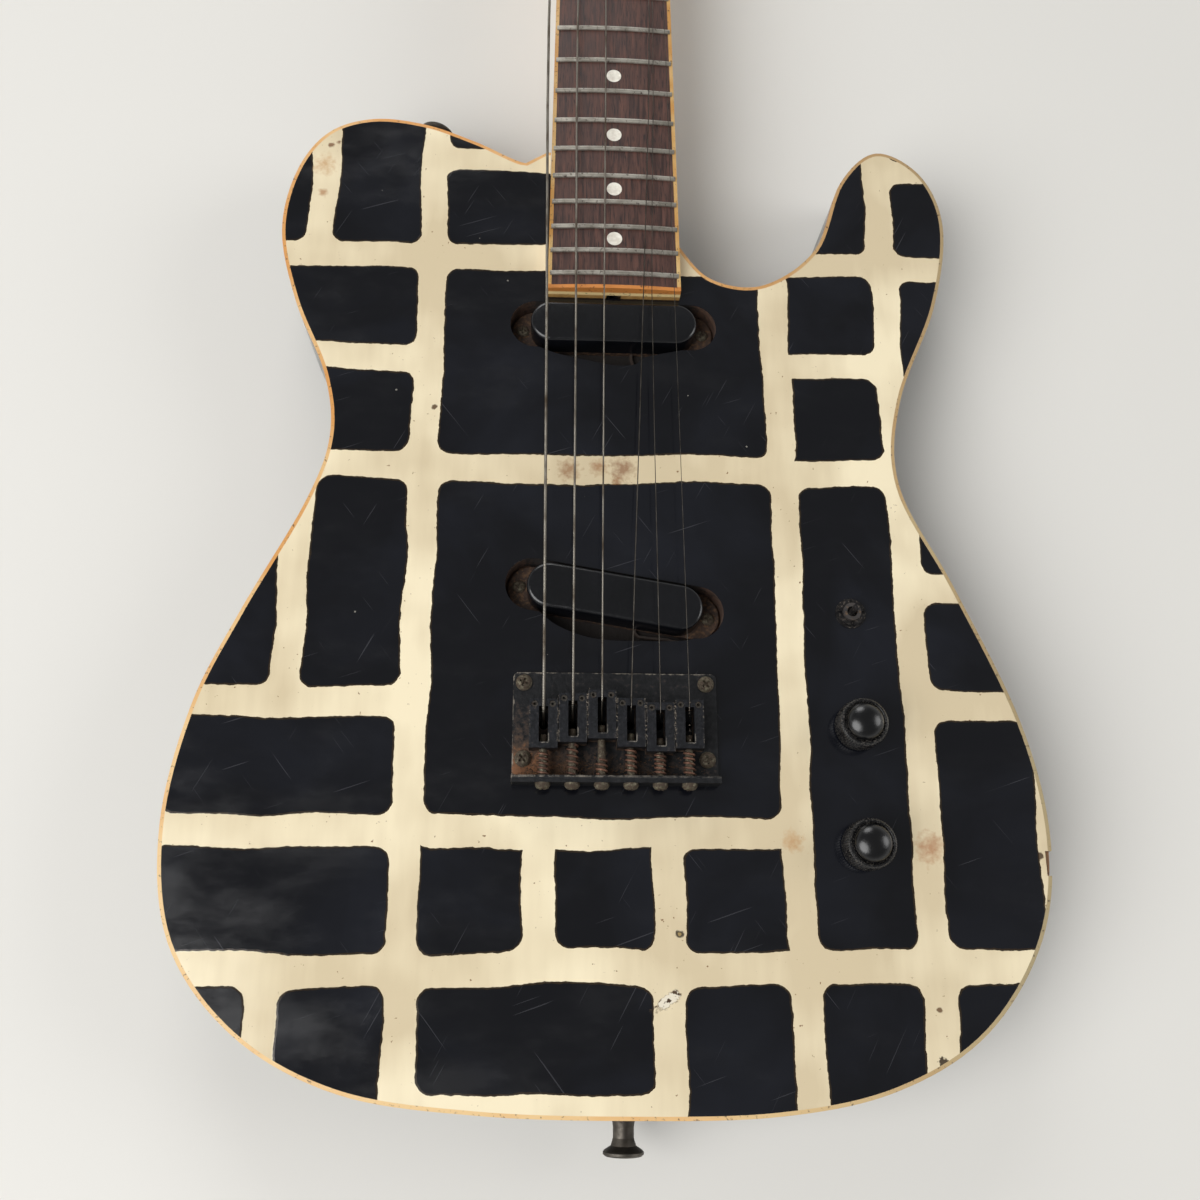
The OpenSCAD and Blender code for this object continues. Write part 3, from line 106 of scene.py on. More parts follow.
def fill(tree: Any, node: Any, *inputs: Any, **settings: Any) -> None:
    """Gives a node its settings and links.

    Args:
        tree: The tree that the node is in.
        node: The node.
        inputs: What its inputs in use get, in order: a value, a hex colour, the node that feeds it, or
            that node's output.
        settings: The same by an input's name, with _ for a space, or a property's value by its name.
    """
    used = [socket for socket in node.inputs if socket.enabled]
    for key, value in (*enumerate(inputs), *settings.items()):
        if isinstance(key, str) and hasattr(node, key):
            setattr(node, key, value)
            continue
        socket = node.inputs[key.replace("_", " ")] if isinstance(key, str) else used[key]
        if isinstance(value, bpy.types.Node):
            value = next(output for output in value.outputs if output.enabled)
        if isinstance(value, bpy.types.NodeSocket):
            tree.links.new(value, socket)
        else:
            socket.default_value = linear(value) if isinstance(value, str) else value


def add(tree: Any, kind: str, *inputs: Any, **settings: Any) -> Any:
    """Adds one node to a tree, with its settings and links.

    Args:
        tree: The material's or world's node tree.
        kind: The node's type after "ShaderNode", then its operation or data type if it needs one.
        inputs: What its inputs get in order, as fill takes them.
        settings: What it gets by name, as fill takes them.

    Returns:
        The new node.
    """
    kind, _, mode = kind.partition(" ")
    node = tree.nodes.new("ShaderNode" + kind)
    if mode:
        setattr(node, "data_type" if kind == "Mix" else "operation", mode)
    fill(tree, node, *inputs, **settings)
    return node


class Graph:
    """A new material's node tree, with its shader and the place on the object in millimetres."""

    def __init__(self, name: str) -> None:
        """Starts a material of that name."""
        self.material = bpy.data.materials.new(name)
        self.material.use_nodes = True
        self.tree = self.material.node_tree
        self.tree.nodes.clear()
        self.shader = self.add("BsdfPrincipled")
        self.output = self.add("OutputMaterial", Surface=self.shader)
        where = self.add("TexCoord")
        self.mm = self.add("VectorMath SCALE", where.outputs["Object"], Scale=1 / MM)
        self.x, self.y, self.z = self.add("SeparateXYZ", self.mm).outputs

    def add(self, kind: str, *inputs: Any, **settings: Any) -> Any:
        """Adds one node to this material."""
        return add(self.tree, kind, *inputs, **settings)

    def finish(self, **settings: Any) -> Any:
        """Gives the shader its settings and links, as fill takes them, and returns the material."""
        fill(self.tree, self.shader, **settings)
        return self.material

    def chain(self, kind: str, first: Any, *others: Any) -> Any:
        """Feeds the first giver and the next into a node, then that node and the one after, and so on."""
        for other in others:
            first = self.add(kind, first, other)
        return first

    def beyond(self, spot: Any, middle: tuple[float, ...], half: tuple[float, ...]) -> Any:
        """Measures how far a point lies outside a box.

        Args:
            spot: The node that gives the point.
            middle: The box's middle.
            half: Half its sizes.

        Returns:
            The node that gives the distance, which is zero inside.
        """
        away = self.add("VectorMath SUBTRACT", spot, middle)
        away = self.add("VectorMath ABSOLUTE", away)
        away = self.add("VectorMath SUBTRACT", away, half)
        away = self.add("VectorMath MAXIMUM", away, (0, 0, 0))
        return self.add("VectorMath LENGTH", away)


class Finish(Protocol):
    """What every finish can do."""

    name: str

    def build(self) -> Any:
        """Makes the material."""


class Wear(Enum):
    """How much dirt or rust lies on a surface: the share of it that is covered."""

    CLEAN = 0.0
    HANDLED = 0.16
    DUSTY = 0.34
    RUSTED = 0.58


@dataclass(frozen=True)
class Worn:
    """A surface of one stuff with two tones, fine grit, and dirt or rust in patches.

    The scales are in millimetres; stretch makes the pattern longer along an axis, as grain or
    brushing is.
    """

    name: str
    base: str
    tone: str
    rough: Pair
    metal: float = 0.0
    ior: float = 1.5
    coat: float = 0.0
    mottle: float = 9.0
    grit: float = 0.9
    grit_depth: float = 0.02
    stretch: Triple = (1.0, 1.0, 1.0)
    wear: Wear = Wear.CLEAN
    dirt: str = "#6a5138"
    patch: float = 3.0

    def build(self) -> Any:
        """Makes the material.

        Returns:
            The new material.
        """
        g = Graph(self.name)
        long = g.add("VectorMath DIVIDE", g.mm, self.stretch)
        mottle = g.add("TexNoise", long, Scale=1 / self.mottle, Detail=4.0)
        colour = g.add("Mix RGBA", g.add("MapRange", mottle, 0.32, 0.68), self.base, self.tone)
        grit = g.add("TexNoise", long, Scale=1 / self.grit, Detail=3.0)
        shine = g.add("MapRange", grit, 0.3, 0.7, self.rough[0], self.rough[1])
        relief = g.add("Bump", Height=grit, Distance=self.grit_depth * MM)
        metal = self.metal
        if self.wear is not Wear.CLEAN:
            cloud = g.add("TexNoise", g.mm, Scale=1 / self.patch, Detail=6.0, Roughness=0.68)
            edge = 0.66 - 0.36 * self.wear.value
            dirty = g.add("MapRange", cloud, edge - 0.05, edge + 0.08)
            colour = g.add("Mix RGBA", dirty, colour, self.dirt)
            shine = g.add("Mix", dirty, shine, 0.85)
            if self.metal > 0.5:
                metal = g.add("MapRange", dirty, 0.0, 1.0, self.metal, 0.1)
        # a metal keeps the shader's own IOR
        given = {} if self.metal > 0.5 else {"IOR": self.ior}
        return g.finish(Base_Color=colour, Metallic=metal, Roughness=shine, Normal=relief,
                        Coat_Weight=self.coat, Coat_Roughness=0.12, **given)


@lru_cache(maxsize=None)
def material_of(finish: Finish) -> Any:
    """Makes each finish once and returns its material."""
    return finish.build()


@dataclass(frozen=True)
class Mark:
    """One stain, chip or nick: where it is on the face, how wide, and what it shows."""

    x: float
    y: float
    size: float
    colour: str
    soft: float = 0.5


@dataclass(frozen=True)
class PaintedBody:
    """Black polyester lacquer with a hand-cut lattice of cream bands on the front face.

    A thick, hard, glossy film: deep reflections, softened by years of fine scratches. The cream
    under the clear coat has yellowed unevenly, and bare wood shows inside the routs. Lengths and
    places are in millimetres, turns in degrees.
    """

    name: str = "black_and_cream_lacquer"
    black: str = "#0a0b10"
    haze: str = "#16181f"
    cream: str = "#ecdfbf"
    cream_dull: str = "#cebe9e"
    outline: str = "#2b2115"
    scratch: str = "#4b4b50"
    dust: str = "#77746d"
    fly_speck: str = "#6e4a28"
    primer: str = "#ded5c2"
    pit: str = "#4b3a2c"
    chip_edge: str = "#5a4632"
    # dark wood grain, and the painted shade inside the routs
    wood: str = "#5b4030"
    dark_grain_and_painted_shade: str = "#140d09"
    cell: float = 96.0
    cell_at: Pair = (20.0, 97.0)
    band: float = 12.0
    plain: tuple[tuple[float, float, float, float], ...] = (
        (-70, -41, 62, 91), (-70, 103, 62, 187), (74, -89, 110, 91))
    corner: float = 5.0
    ragged: float = 1.3
    bend: float = 5.5
    scratches: tuple[Pair, ...] = ((-28, 0.0), (-71, 300.0), (38, 900.0))
    chip_at: Triple = (18.4, -105.8, FACE)
    chip_turn: float = 32.0
    chip_half: Triple = (5.4, 1.9, 4.0)
    rout_middle: Triple = (0, 110, 30)
    rout_half: Triple = (58, 122, 13.85)
    marks: tuple[Mark, ...] = (
        Mark(-18, 96, 5.5, "#8a5a35", 0.9), Mark(-6, 98, 4.2, "#96643c", 0.9),
        Mark(3.5, 97, 6.0, "#7d4a2a", 0.9), Mark(1, 92, 3.0, "#8a5a35", 0.9),
        Mark(117, -52, 7.0, "#a3683f", 0.95), Mark(66, -50, 5.0, "#b98a58", 0.95),
        Mark(-124, 236, 6.0, "#b98a58", 0.95), Mark(23, -83, 1.5, "#20160e", 0.3),
        Mark(23, -83, 0.7, "#a08a5c", 0.3), Mark(-73, 122.7, 1.4, "#4a3018", 0.3),
        Mark(158, -54.8, 1.6, "#3a2616", 0.3), Mark(116, -109, 1.2, "#5a3a20", 0.4),
        Mark(-122, 246, 1.6, "#6b3f20", 0.5), Mark(-119, 247.5, 1.2, "#6b3f20", 0.5),
        Mark(-124, 222, 2.4, "#a06a3a", 0.9), Mark(116, -127, 2.2, "#2a1a10", 0.2),
        Mark(113, -130, 1.3, "#efe6cf", 0.2),
    )

    def build(self) -> Any:
        """Makes the material.

        Returns:
            The new material.
        """
        g = Graph(self.name)
        # the cut edge of the mask wanders by half a millimetre over a few millimetres
        wander = g.add("TexNoise", g.mm, Scale=1 / 3.2, Detail=3.0)
        level = g.add("VectorMath SUBTRACT", wander.outputs[1], (0.5, 0.5, 0.5))
        shift = g.add("VectorMath SCALE", level, Scale=self.ragged)
        # and no band is quite straight: the knife bends a millimetre or two over a few centimetres
        sway = g.add("TexNoise", g.mm, Scale=1 / 42, Detail=1.0)
        sway = g.add("VectorMath SUBTRACT", sway.outputs[1], (0.5, 0.5, 0.5))
        shift = g.add("VectorMath MULTIPLY_ADD", sway, (self.bend,) * 3, shift)
        spot = g.add("VectorMath ADD", g.mm, shift)
        grid = g.add("VectorMath SUBTRACT", spot, (*self.cell_at, 0))
        grid = g.add("VectorMath SCALE", grid, Scale=1 / self.cell)
        whole = g.add("VectorMath FLOOR", grid)
        total = g.add("Math ADD", *g.add("SeparateXYZ", whole).outputs[:2])
        odd = g.add("Math FLOORED_MODULO", total, 2.0)
        local = g.add("VectorMath SUBTRACT", grid, whole)
        local = g.add("VectorMath MULTIPLY_ADD", local, (self.cell,) * 3, (-self.cell / 2,) * 3)
        local = g.add("SeparateXYZ", g.add("VectorMath ABSOLUTE", local))
        along = g.add("Mix", odd, local.outputs[0], local.outputs[1])
        across = g.add("Mix", odd, local.outputs[1], local.outputs[0])
        # each cell holds two black panels side by side; the cream bands run between them
        across = g.add("Math ABSOLUTE", g.add("Math SUBTRACT", across, self.cell / 4))
        panel = g.add("CombineXYZ", along, across)
        half = ((self.cell - self.band) / 2 - self.corner,
                (self.cell / 2 - self.band) / 2 - self.corner, 0)
        edge = g.add("Math SUBTRACT", g.beyond(panel, (0, 0, 0), half), self.corner)
        # plain black panels, framed by one band, hold the pickups, the bridge and the controls
        flat = g.add("VectorMath MULTIPLY", spot, (1, 1, 0))
        panels = []
        for left, low, right, high in self.plain:
            half = ((right - left) / 2 - self.corner, (high - low) / 2 - self.corner, 0)
            past = g.beyond(flat, ((left + right) / 2, (low + high) / 2, 0), half)
            panels.append(g.add("Math SUBTRACT", past, self.corner))
        nearest = g.chain("Math MINIMUM", *panels)
        frame_out = g.add("Math SUBTRACT", self.band, nearest)
        edge = g.add("Math MAXIMUM", edge, g.add("Math MINIMUM", nearest, frame_out))
        edge = g.add("Math MINIMUM", edge, nearest)

        face = g.add("Math GREATER_THAN", g.z, FACE - 0.1)
        band = g.add("MapRange", edge, -0.12, 0.12)
        rim = g.add("Math COMPARE", edge, -0.1, 0.32)

        # black: deep gloss, with a grey haze of scuffs in long soft clouds
        cloud = g.add("TexNoise", g.mm, Scale=1 / 55, Detail=5.0, Distortion=0.6)
        hazy = g.add("MapRange", cloud, 0.45, 0.75)
        black = g.add("Mix RGBA", hazy, self.black, self.haze)
        # hairline scratches in three directions: 0.05 mm wide, drawn at 0.4 mm so that they show
        scratches = []
        for turn, away in self.scratches:
            lines = g.add("Mapping", g.mm, (away, away, FACE), (0, 0, math.radians(turn)),
                          (0.8, 38, 1000), vector_type="TEXTURE")
            lines = g.add("TexNoise", lines, Scale=1.0, Detail=1.0)
            scratches.append(g.add("MapRange", lines, 0.745, 0.78, 0.0, 0.4))
        scratched = g.chain("Math MAXIMUM", *scratches)
        # settled dust: lone pale specks about a centimetre apart
        mote = g.add("TexVoronoi", g.mm, Scale=1 / 11)
        chosen = g.add("SeparateXYZ", mote.outputs["Color"])
        limit = g.add("MapRange", chosen, 0.45, 1.0, 0.0, 0.042)
        speckled = g.add("Math LESS_THAN", mote.outputs["Distance"], limit)
        for cover, colour in ((scratched, self.scratch), (speckled, self.dust)):
            black = g.add("Mix RGBA", cover, black, colour)
        # cream: yellowed in broad patches and streaked along the body
        drawn = g.add("VectorMath DIVIDE", g.mm, (6, 40, 40))
        streak = g.add("TexNoise", drawn, Scale=1.0, Detail=5.0)
        broad = g.add("TexNoise", g.mm, Scale=1 / 70, Detail=3.0)
        aged = g.add("MapRange", g.add("Math MULTIPLY_ADD", streak, 0.16, broad), 0.47, 0.69)
        cream = g.add("Mix RGBA", aged, self.cream, self.cream_dull)
        speck = g.add("TexNoise", g.mm, Scale=1 / 1.6, Detail=2.0)
        cream = g.add("Mix RGBA", g.add("MapRange", speck, 0.73, 0.78), cream, self.fly_speck)
        paint = g.add("Mix RGBA", band, black, cream)
        paint = g.add("Mix RGBA", rim, paint, self.outline)

        # stains, nicks and chips, each with a broken outline
        crumble = g.add("TexNoise", g.mm, Scale=1 / 1.8, Detail=4.0)
        crumble = g.add("MapRange", crumble, 0.0, 1.0, -1.0, 1.0)
        for mark in self.marks:
            away = g.add("VectorMath DISTANCE", g.mm, (mark.x, mark.y, FACE))
            away = g.add("Math MULTIPLY_ADD", crumble, 0.9 * mark.size, away)
            seen = g.add("MapRange", away, mark.size, mark.size * (1 - mark.soft),
                         0.0, 1.0 - 0.35 * mark.soft)
            paint = g.add("Mix RGBA", g.add("Math MULTIPLY", seen, band), paint, mark.colour)

        # the long chip: flaked to white primer, with dark pits where that has gone too
        turn = (0, 0, math.radians(self.chip_turn))
        chip = g.add("Mapping", g.mm, self.chip_at, turn, self.chip_half, vector_type="TEXTURE")
        chip = g.add("VectorMath LENGTH", chip)
        flake = g.add("TexNoise", g.mm, Scale=1 / 2.6, Detail=6.0, Roughness=0.7)
        flake = g.add("MapRange", flake, 0.3, 0.7, -1.0, 1.0)
        chip = g.add("Math MULTIPLY_ADD", flake, 0.5, chip)
        pits = g.add("MapRange", speck, 0.54, 0.6)
        primer = g.add("Mix RGBA", pits, self.primer, self.pit)
        lifted = g.add("MapRange", chip, 1.12, 1.0, 0.0, 0.6)
        gone = g.add("MapRange", chip, 0.98, 0.9)
        paint = g.add("Mix RGBA", lifted, paint, self.chip_edge)
        paint = g.add("Mix RGBA", gone, paint, primer)

        # bare wood inside the routs and the string holes, with painted shade: near black under the middle
        # of each cover
        middle = g.add("VectorMath ABSOLUTE", g.add("VectorMath SUBTRACT", g.mm, self.rout_middle))
        apart = g.add("SeparateXYZ", g.add("VectorMath SUBTRACT", middle, self.rout_half))
        rout = g.add("Math LESS_THAN", g.chain("Math MAXIMUM", *apart.outputs), 0.0)
        fibre = g.add("VectorMath DIVIDE", g.mm, (1.6, 7, 1.6))
        fibre = g.add("TexNoise", fibre, Scale=1.0, Detail=6.0, Roughness=0.7)
        fibres = g.add("MapRange", fibre, 0.35, 0.68)
        # painted shade: the wood lightens to brown only between 28 and 37 mm out from the rout's middle
        ends = g.add("MapRange", g.add("SeparateXYZ", middle), 28.0, 37.0, -0.85, 0.12)
        brown = g.add("Math ADD", fibres, ends, use_clamp=True)
        wood = g.add("Mix RGBA", brown, self.dark_grain_and_painted_shade, self.wood)
        colour = g.add("Mix RGBA", rout, g.add("Mix RGBA", face, black, paint), wood)

        # gloss: polished film, dulled by scuffs; the wood is matt
        scuff = g.add("VectorMath DIVIDE", g.mm, (34, 16, 30))
        scuff = g.add("TexNoise", scuff, Scale=1.0, Detail=6.0, Roughness=0.6)
        dull = g.add("MapRange", scuff, 0.38, 0.68, 0.08, 0.27)
        dull = g.add("Mix", rout, dull, 0.9)
        # the cream sits a few hundredths of a millimetre below the black at its edges
        relief = g.add("Bump", Height=g.add("MapRange", edge, -0.5, 0.5, 1.0, 0.0), Distance=0.05 * MM)
        peel = g.add("TexNoise", g.mm, Scale=1 / 3.5, Detail=1.0)
        relief = g.add("Bump", Height=peel, Normal=relief, Distance=0.012 * MM)
        relief = g.add("Bump", Height=g.add("Math MULTIPLY", rout, fibre), Normal=relief,
                       Distance=0.5 * MM)
        return g.finish(Base_Color=colour, Roughness=dull, IOR=1.52, Normal=relief)


@dataclass(frozen=True)
class Timber:
    """Sawn and finished wood: growth streaks and short pores that run along the neck."""

    name: str
    pale: str
    deep: str
    pore: str
    rough: Pair
    streak: float = 3.0
    pores: float = 0.5
    coat: float = 0.0

    def build(self) -> Any:
        """Makes the material.

        Returns:
            The new material.
        """
        g = Graph(self.name)
        # streaks a few millimetres apart, drawn out along the grain by fifteen
        grain = g.add("VectorMath DIVIDE", g.mm, (self.streak, self.streak * 15, self.streak))
        figure = g.add("TexNoise", grain, Scale=1.0, Detail=6.0, Roughness=0.62, Distortion=0.3)
        wood = g.add("Mix RGBA", g.add("MapRange", figure, 0.34, 0.66), self.deep, self.pale)
        # pores are 0.1 mm wide: drawn at 0.35 mm so that they show
        fine = g.add("VectorMath DIVIDE", g.mm, (0.35, 6.0, 0.35))
        pore = g.add("TexNoise", fine, Scale=1.0, Detail=2.0)
        dark = g.add("MapRange", pore, 0.56, 0.66, 0.0, self.pores)
        shine = g.add("MapRange", figure, 0.35, 0.65, self.rough[0], self.rough[1])
        return g.finish(Base_Color=g.add("Mix RGBA", dark, wood, self.pore), Roughness=shine, IOR=1.5,
                        Coat_Weight=self.coat, Coat_Roughness=0.2,
                        Normal=g.add("Bump", Height=pore, invert=True, Distance=0.03 * MM))


@dataclass(frozen=True)
class CelluloidBinding:
    """Cream celluloid strip, yellowed to amber where it was handled, with dirt in both glue lines.

    Heights, places and the length of a yellowed stretch are in millimetres.
    """

    name: str
    cream: str = "#dfbd88"
    amber: str = "#cf9453"
    glue: str = "#35241a"
    # painted shade on the treble side
    treble_shade_grey: str = "#93886a"
    # painted shade down the outer wall
    under: str = "#84451f"
    end_top: str = "#c27d3e"
    end_foot: str = "#f2d69b"
    length: float = 45.0
    lean: float = 0.5
    top: float = FACE
    end_y: float = -1000.0
    end_low: float = 46.0

    def build(self) -> Any:
        """Makes the material.

        Returns:
            The new material.
        """
        g = Graph(self.name)
        slow = g.add("TexNoise", g.mm, Scale=1 / self.length, Detail=3.0)
        # the upper end, handled most, is the most orange
        aged = g.add("Math ADD", slow, g.add("MapRange", g.y, -150.0, 260.0, -0.12, 0.16))
        amber = g.add("MapRange", aged, self.lean - 0.14, self.lean + 0.14)
        tint = g.add("Mix RGBA", amber, self.cream, self.amber)
        grime = g.add("TexNoise", g.mm, Scale=1 / 1.3, Detail=5.0)
        dirty = g.add("MapRange", grime, 0.6, 0.7, 0.0, 0.8)
        # painted shade: the binding greys towards the treble side, where the light falls off
        painted_shade_treble = g.add("MapRange", g.x, 20.0, 150.0, 0.0, 0.85)
        # painted shade: the outer wall browns below its top edge, as it turns away from the light
        depth = g.add("MapRange", g.z, self.top - 0.1, self.top - 1.2, 0.0, 0.6)
        for cover, colour in ((painted_shade_treble, self.treble_shade_grey), (depth, self.under)):
            tint = g.add("Mix RGBA", cover, tint, colour)
        # the strip across the board's end is amber above and pale along its foot
        at_end = g.add("Math LESS_THAN", g.y, self.end_y + 1.9)
        foot = g.add("MapRange", g.z, self.end_low + 1.7, self.end_low + 2.6)
        tint = g.add("Mix RGBA", at_end, tint, g.add("Mix RGBA", foot, self.end_foot, self.end_top))
        return g.finish(Base_Color=g.add("Mix RGBA", dirty, tint, self.glue),
                        Roughness=g.add("MapRange", grime, 0.0, 1.0, 0.28, 0.5), IOR=1.5,
                        Normal=g.add("Bump", Height=grime, Distance=0.03 * MM))


@dataclass(frozen=True)
class DustyPlate:
    """Black-plated steel, worn pale along its edges, with rust-brown dirt packed behind the saddles."""

    name: str = "dusty_black_plate"
    black: str = "#18191b"
    grey: str = "#29292b"
    rust: str = "#553f2e"
    orange: str = "#7d5438"
    # worn bare metal on the edges, and the painted highlight on the lip
    pale: str = "#8b8377"
    behind: Pair = (-29.0, -12.0)
    corner: Triple = (-33.0, -24.0, 46.0)
    half_width: float = 38.5
    front: float = 12.5
    lip_top: float = 53.5

    def build(self) -> Any:
        """Makes the material.

        Returns:
            The new material.
        """
        g = Graph(self.name)
        soot = g.add("TexNoise", g.mm, Scale=1 / 2.2, Detail=6.0, Roughness=0.7)
        tint = g.add("Mix RGBA", g.add("MapRange", soot, 0.4, 0.72), self.black, self.grey)
        # dirt is thickest between the saddles and the lip, and more so at one corner
        back = g.add("MapRange", g.y, self.behind[1], self.behind[0] + 6, 0.0, 0.2)
        heap = g.add("MapRange", g.add("VectorMath DISTANCE", g.mm, self.corner), 4.0, 20.0, 0.2, 0.0)
        lifted = g.add("MapRange", g.z, PLATE_TOP + 0.2, PLATE_TOP + 1.6, 0.0, -0.4)
        across = g.add("MapRange", g.x, -34.0, 36.0, 0.1, -0.12)
        across = g.add("Math MULTIPLY", across, g.add("MapRange", g.y, 4.0, 0.0))
        outside = g.add("MapRange", g.y, LIP - 1.2, LIP - 0.4, -0.5, 0.0)
        thick = g.chain("Math ADD", back, heap, lifted, soot, across, outside)
        dirty = g.add("MapRange", thick, 0.6, 0.95)
        red = g.add("MapRange", thick, 0.84, 1.1)
        # the front and side edges have lost their black
        side = g.add("Math SUBTRACT", -self.half_width, g.x)
        fore = g.add("Math SUBTRACT", g.y, self.front)
        chipped = g.add("TexNoise", g.mm, Scale=1 / 3.4, Detail=5.0, Roughness=0.75)
        bare = g.add("Math MULTIPLY_ADD", chipped, 3.4, -1.98)
        bare = g.add("Math ADD", bare, g.add("Math MAXIMUM", side, fore))
        edge = g.add("MapRange", bare, -0.55, -0.15, 0.0, 0.8)
        # painted highlight: a broken pale line along the lip's inner top edge, brightest on the bass side
        crest = g.add("Math COMPARE", g.z, self.lip_top, 0.7)
        near = g.add("Math COMPARE", g.y, LIP, 0.75)
        highlight_breaks = g.add("MapRange", soot, 0.42, 0.66)
        highlight_fade = g.add("MapRange", g.x, -36.0, 20.0, 1.0, 0.4)
        painted_highlight = g.chain("Math MULTIPLY", crest, near, highlight_breaks, highlight_fade)
        coats = ((dirty, self.rust), (red, self.orange), (edge, self.pale), (painted_highlight, self.pale))
        for cover, colour in coats:
            tint = g.add("Mix RGBA", cover, tint, colour)
        return g.finish(Base_Color=tint, Metallic=g.add("MapRange", dirty, 0.0, 1.0, 0.6, 0.0),
                        Roughness=g.add("MapRange", dirty, 0.0, 1.0, 0.46, 0.95),
                        Normal=g.add("Bump", Height=thick, Distance=0.25 * MM))


@dataclass(frozen=True)
class WornSaddle:
    """Black-plated die-cast zinc: tops painted a lighter charcoal as if lit, a painted highlight on the
    lit sides of each screw slot's back end, brown crust below.
    """

    name: str = "worn_black_saddle"
    black: str = "#1b1c1f"
    top: str = "#2c2d31"
    # painted highlight on the slots' lit edges
    bright: str = "#948d82"
    crust: str = "#5c4634"
    packed: str = "#857c70"
    height: float = 8.0
    highlight_half: Pair = (1.92, 1.75)
    highlight_back: float = 14.5

    def build(self) -> Any:
        """Makes the material.

        Returns:
            The new material.
        """
        g = Graph(self.name)
        soot = g.add("TexNoise", g.mm, Scale=1 / 1.3, Detail=6.0, Roughness=0.7)
        # painted light: the tops are a lighter charcoal than the sides, in patches
        upper = g.add("MapRange", g.z, SADDLE_TOP - 0.5, SADDLE_TOP - 0.05)
        patchy = g.add("MapRange", soot, 0.4, 0.66)
        tint = g.add("Mix RGBA", g.add("Math MULTIPLY", upper, patchy), self.black, self.top)
        low = g.add("MapRange", g.z, SADDLE_TOP - self.height, SADDLE_TOP - 0.6, 0.26, -0.02)
        crusty = g.add("MapRange", g.add("Math ADD", low, soot), 0.62, 0.76)
        # painted highlight: a thin bright line on the two lit sides of each slot's back end, beside the
        # screw
        flat = g.add("VectorMath MULTIPLY", g.mm, (1, 1, 0))
        lines = []
        for k, front in enumerate(FRONTS):
            middle = (lane(k), front - self.highlight_back, 0)
            off = g.add("VectorMath SUBTRACT", flat, middle)
            lit_side = g.add("MapRange", g.add("VectorMath DOT_PRODUCT", off, (1.0, -0.45, 0)), -0.2, 0.25)
            reach = g.beyond(off, (0, 0, 0), (self.highlight_half[0] - 0.5, self.highlight_half[1] - 0.5, 0))
            lines.append(g.add("Math MULTIPLY", g.add("Math COMPARE", reach, 0.5, 0.2), lit_side))
        ring = g.chain("Math MAXIMUM", *lines)
        ring = g.chain("Math MULTIPLY", ring, upper, g.add("MapRange", soot, 0.4, 0.58, 0.0, 0.75))
        # pale crust lines some of the joints between saddles
        joint = g.add("MapRange", g.add("Math PINGPONG", g.x, PITCH / 2), 0.75, 0.3)
        flaked = g.add("TexNoise", g.mm, Scale=1 / 1.1, Detail=5.0, Roughness=0.8)
        flaked = g.add("MapRange", flaked, 0.52, 0.62, 0.0, 0.75)
        joint = g.chain("Math MULTIPLY", joint, flaked, upper)
        for cover, colour in ((crusty, self.crust), (ring, self.bright), (joint, self.packed)):
            tint = g.add("Mix RGBA", cover, tint, colour)
        return g.finish(Base_Color=tint, Metallic=g.add("MapRange", crusty, 0.0, 1.0, 0.7, 0.0),
                        Roughness=g.add("MapRange", crusty, 0.0, 1.0, 0.48, 0.95),
                        Normal=g.add("Bump", Height=soot, Distance=0.18 * MM))


@dataclass(frozen=True)
class DustyKnob:
    """Glossy black ABS: the dome is wiped clean by fingers, and pale grime fills the knurls."""

    name: str = "dusty_black_knob"
    black: str = "#09090b"
    grime: str = "#4d4842"
    wall_top: float = 55.6

    def build(self) -> Any:
        """Makes the material.

        Returns:
            The new material.
        """
        g = Graph(self.name)
        speck = g.add("TexNoise", g.mm, Scale=1 / 0.7, Detail=4.0, Roughness=0.75)
        below = g.add("MapRange", g.z, self.wall_top - 0.2, self.wall_top + 1.2, 0.14, -0.14)
        dusty = g.add("MapRange", g.add("Math ADD", below, speck), 0.64, 0.8, 0.0, 0.85)
        tint = g.add("Mix RGBA", dusty, self.black, self.grime)
        return g.finish(Base_Color=tint, Roughness=g.add("MapRange", dusty, 0.0, 1.0, 0.23, 0.9),
                        IOR=1.53, Normal=g.add("Bump", Height=speck, Distance=0.03 * MM))


@dataclass(frozen=True)
class RoundWound:
    """Nickel wire wrapped on a steel core, dulled grey-brown."""

    name: str = "round_wound_string"
    silver: str = "#7f7a71"
    brown: str = "#4f4438"
    wrap: float = 0.6

    def build(self) -> Any:
        """Makes the material.

        Returns:
            The new material.
        """
        g = Graph(self.name)
        # the wrap is 0.3 mm from turn to turn: drawn at 0.6 mm so that it shows
        ridge = g.add("MapRange", g.add("Math PINGPONG", g.y, self.wrap / 2), 0.0, self.wrap / 2)
        tarnish = g.add("TexNoise", g.mm, Scale=1 / 14, Detail=5.0)
        brown = g.add("MapRange", tarnish, 0.46, 0.68)
        tint = g.add("Mix RGBA", brown, self.silver, self.brown)
        return g.finish(Base_Color=tint, Metallic=0.95,
                        Roughness=g.add("MapRange", brown, 0.0, 1.0, 0.4, 0.62),
                        Normal=g.add("Bump", Height=ridge, Distance=0.08 * MM))


# hand-masked polyester: mirror gloss under a haze of scratches
LACQUER = PaintedBody()
# old celluloid: cream going to amber, with a waxy shine
BODY_BINDING = CelluloidBinding("yellowed_body_binding")
BOARD_BINDING = CelluloidBinding("yellowed_board_binding", "#e3c98f", "#c08c48", length=25.0, lean=0.56,
                                 top=40.0, end_y=174.9)
# maple, oiled by hand: warm, half matt, its figure plain to see
MAPLE = Timber("oiled_maple", "#c9a063", "#a97c43", "#7a5528", (0.3, 0.46), streak=4.0, pores=0.25,
               coat=0.3)
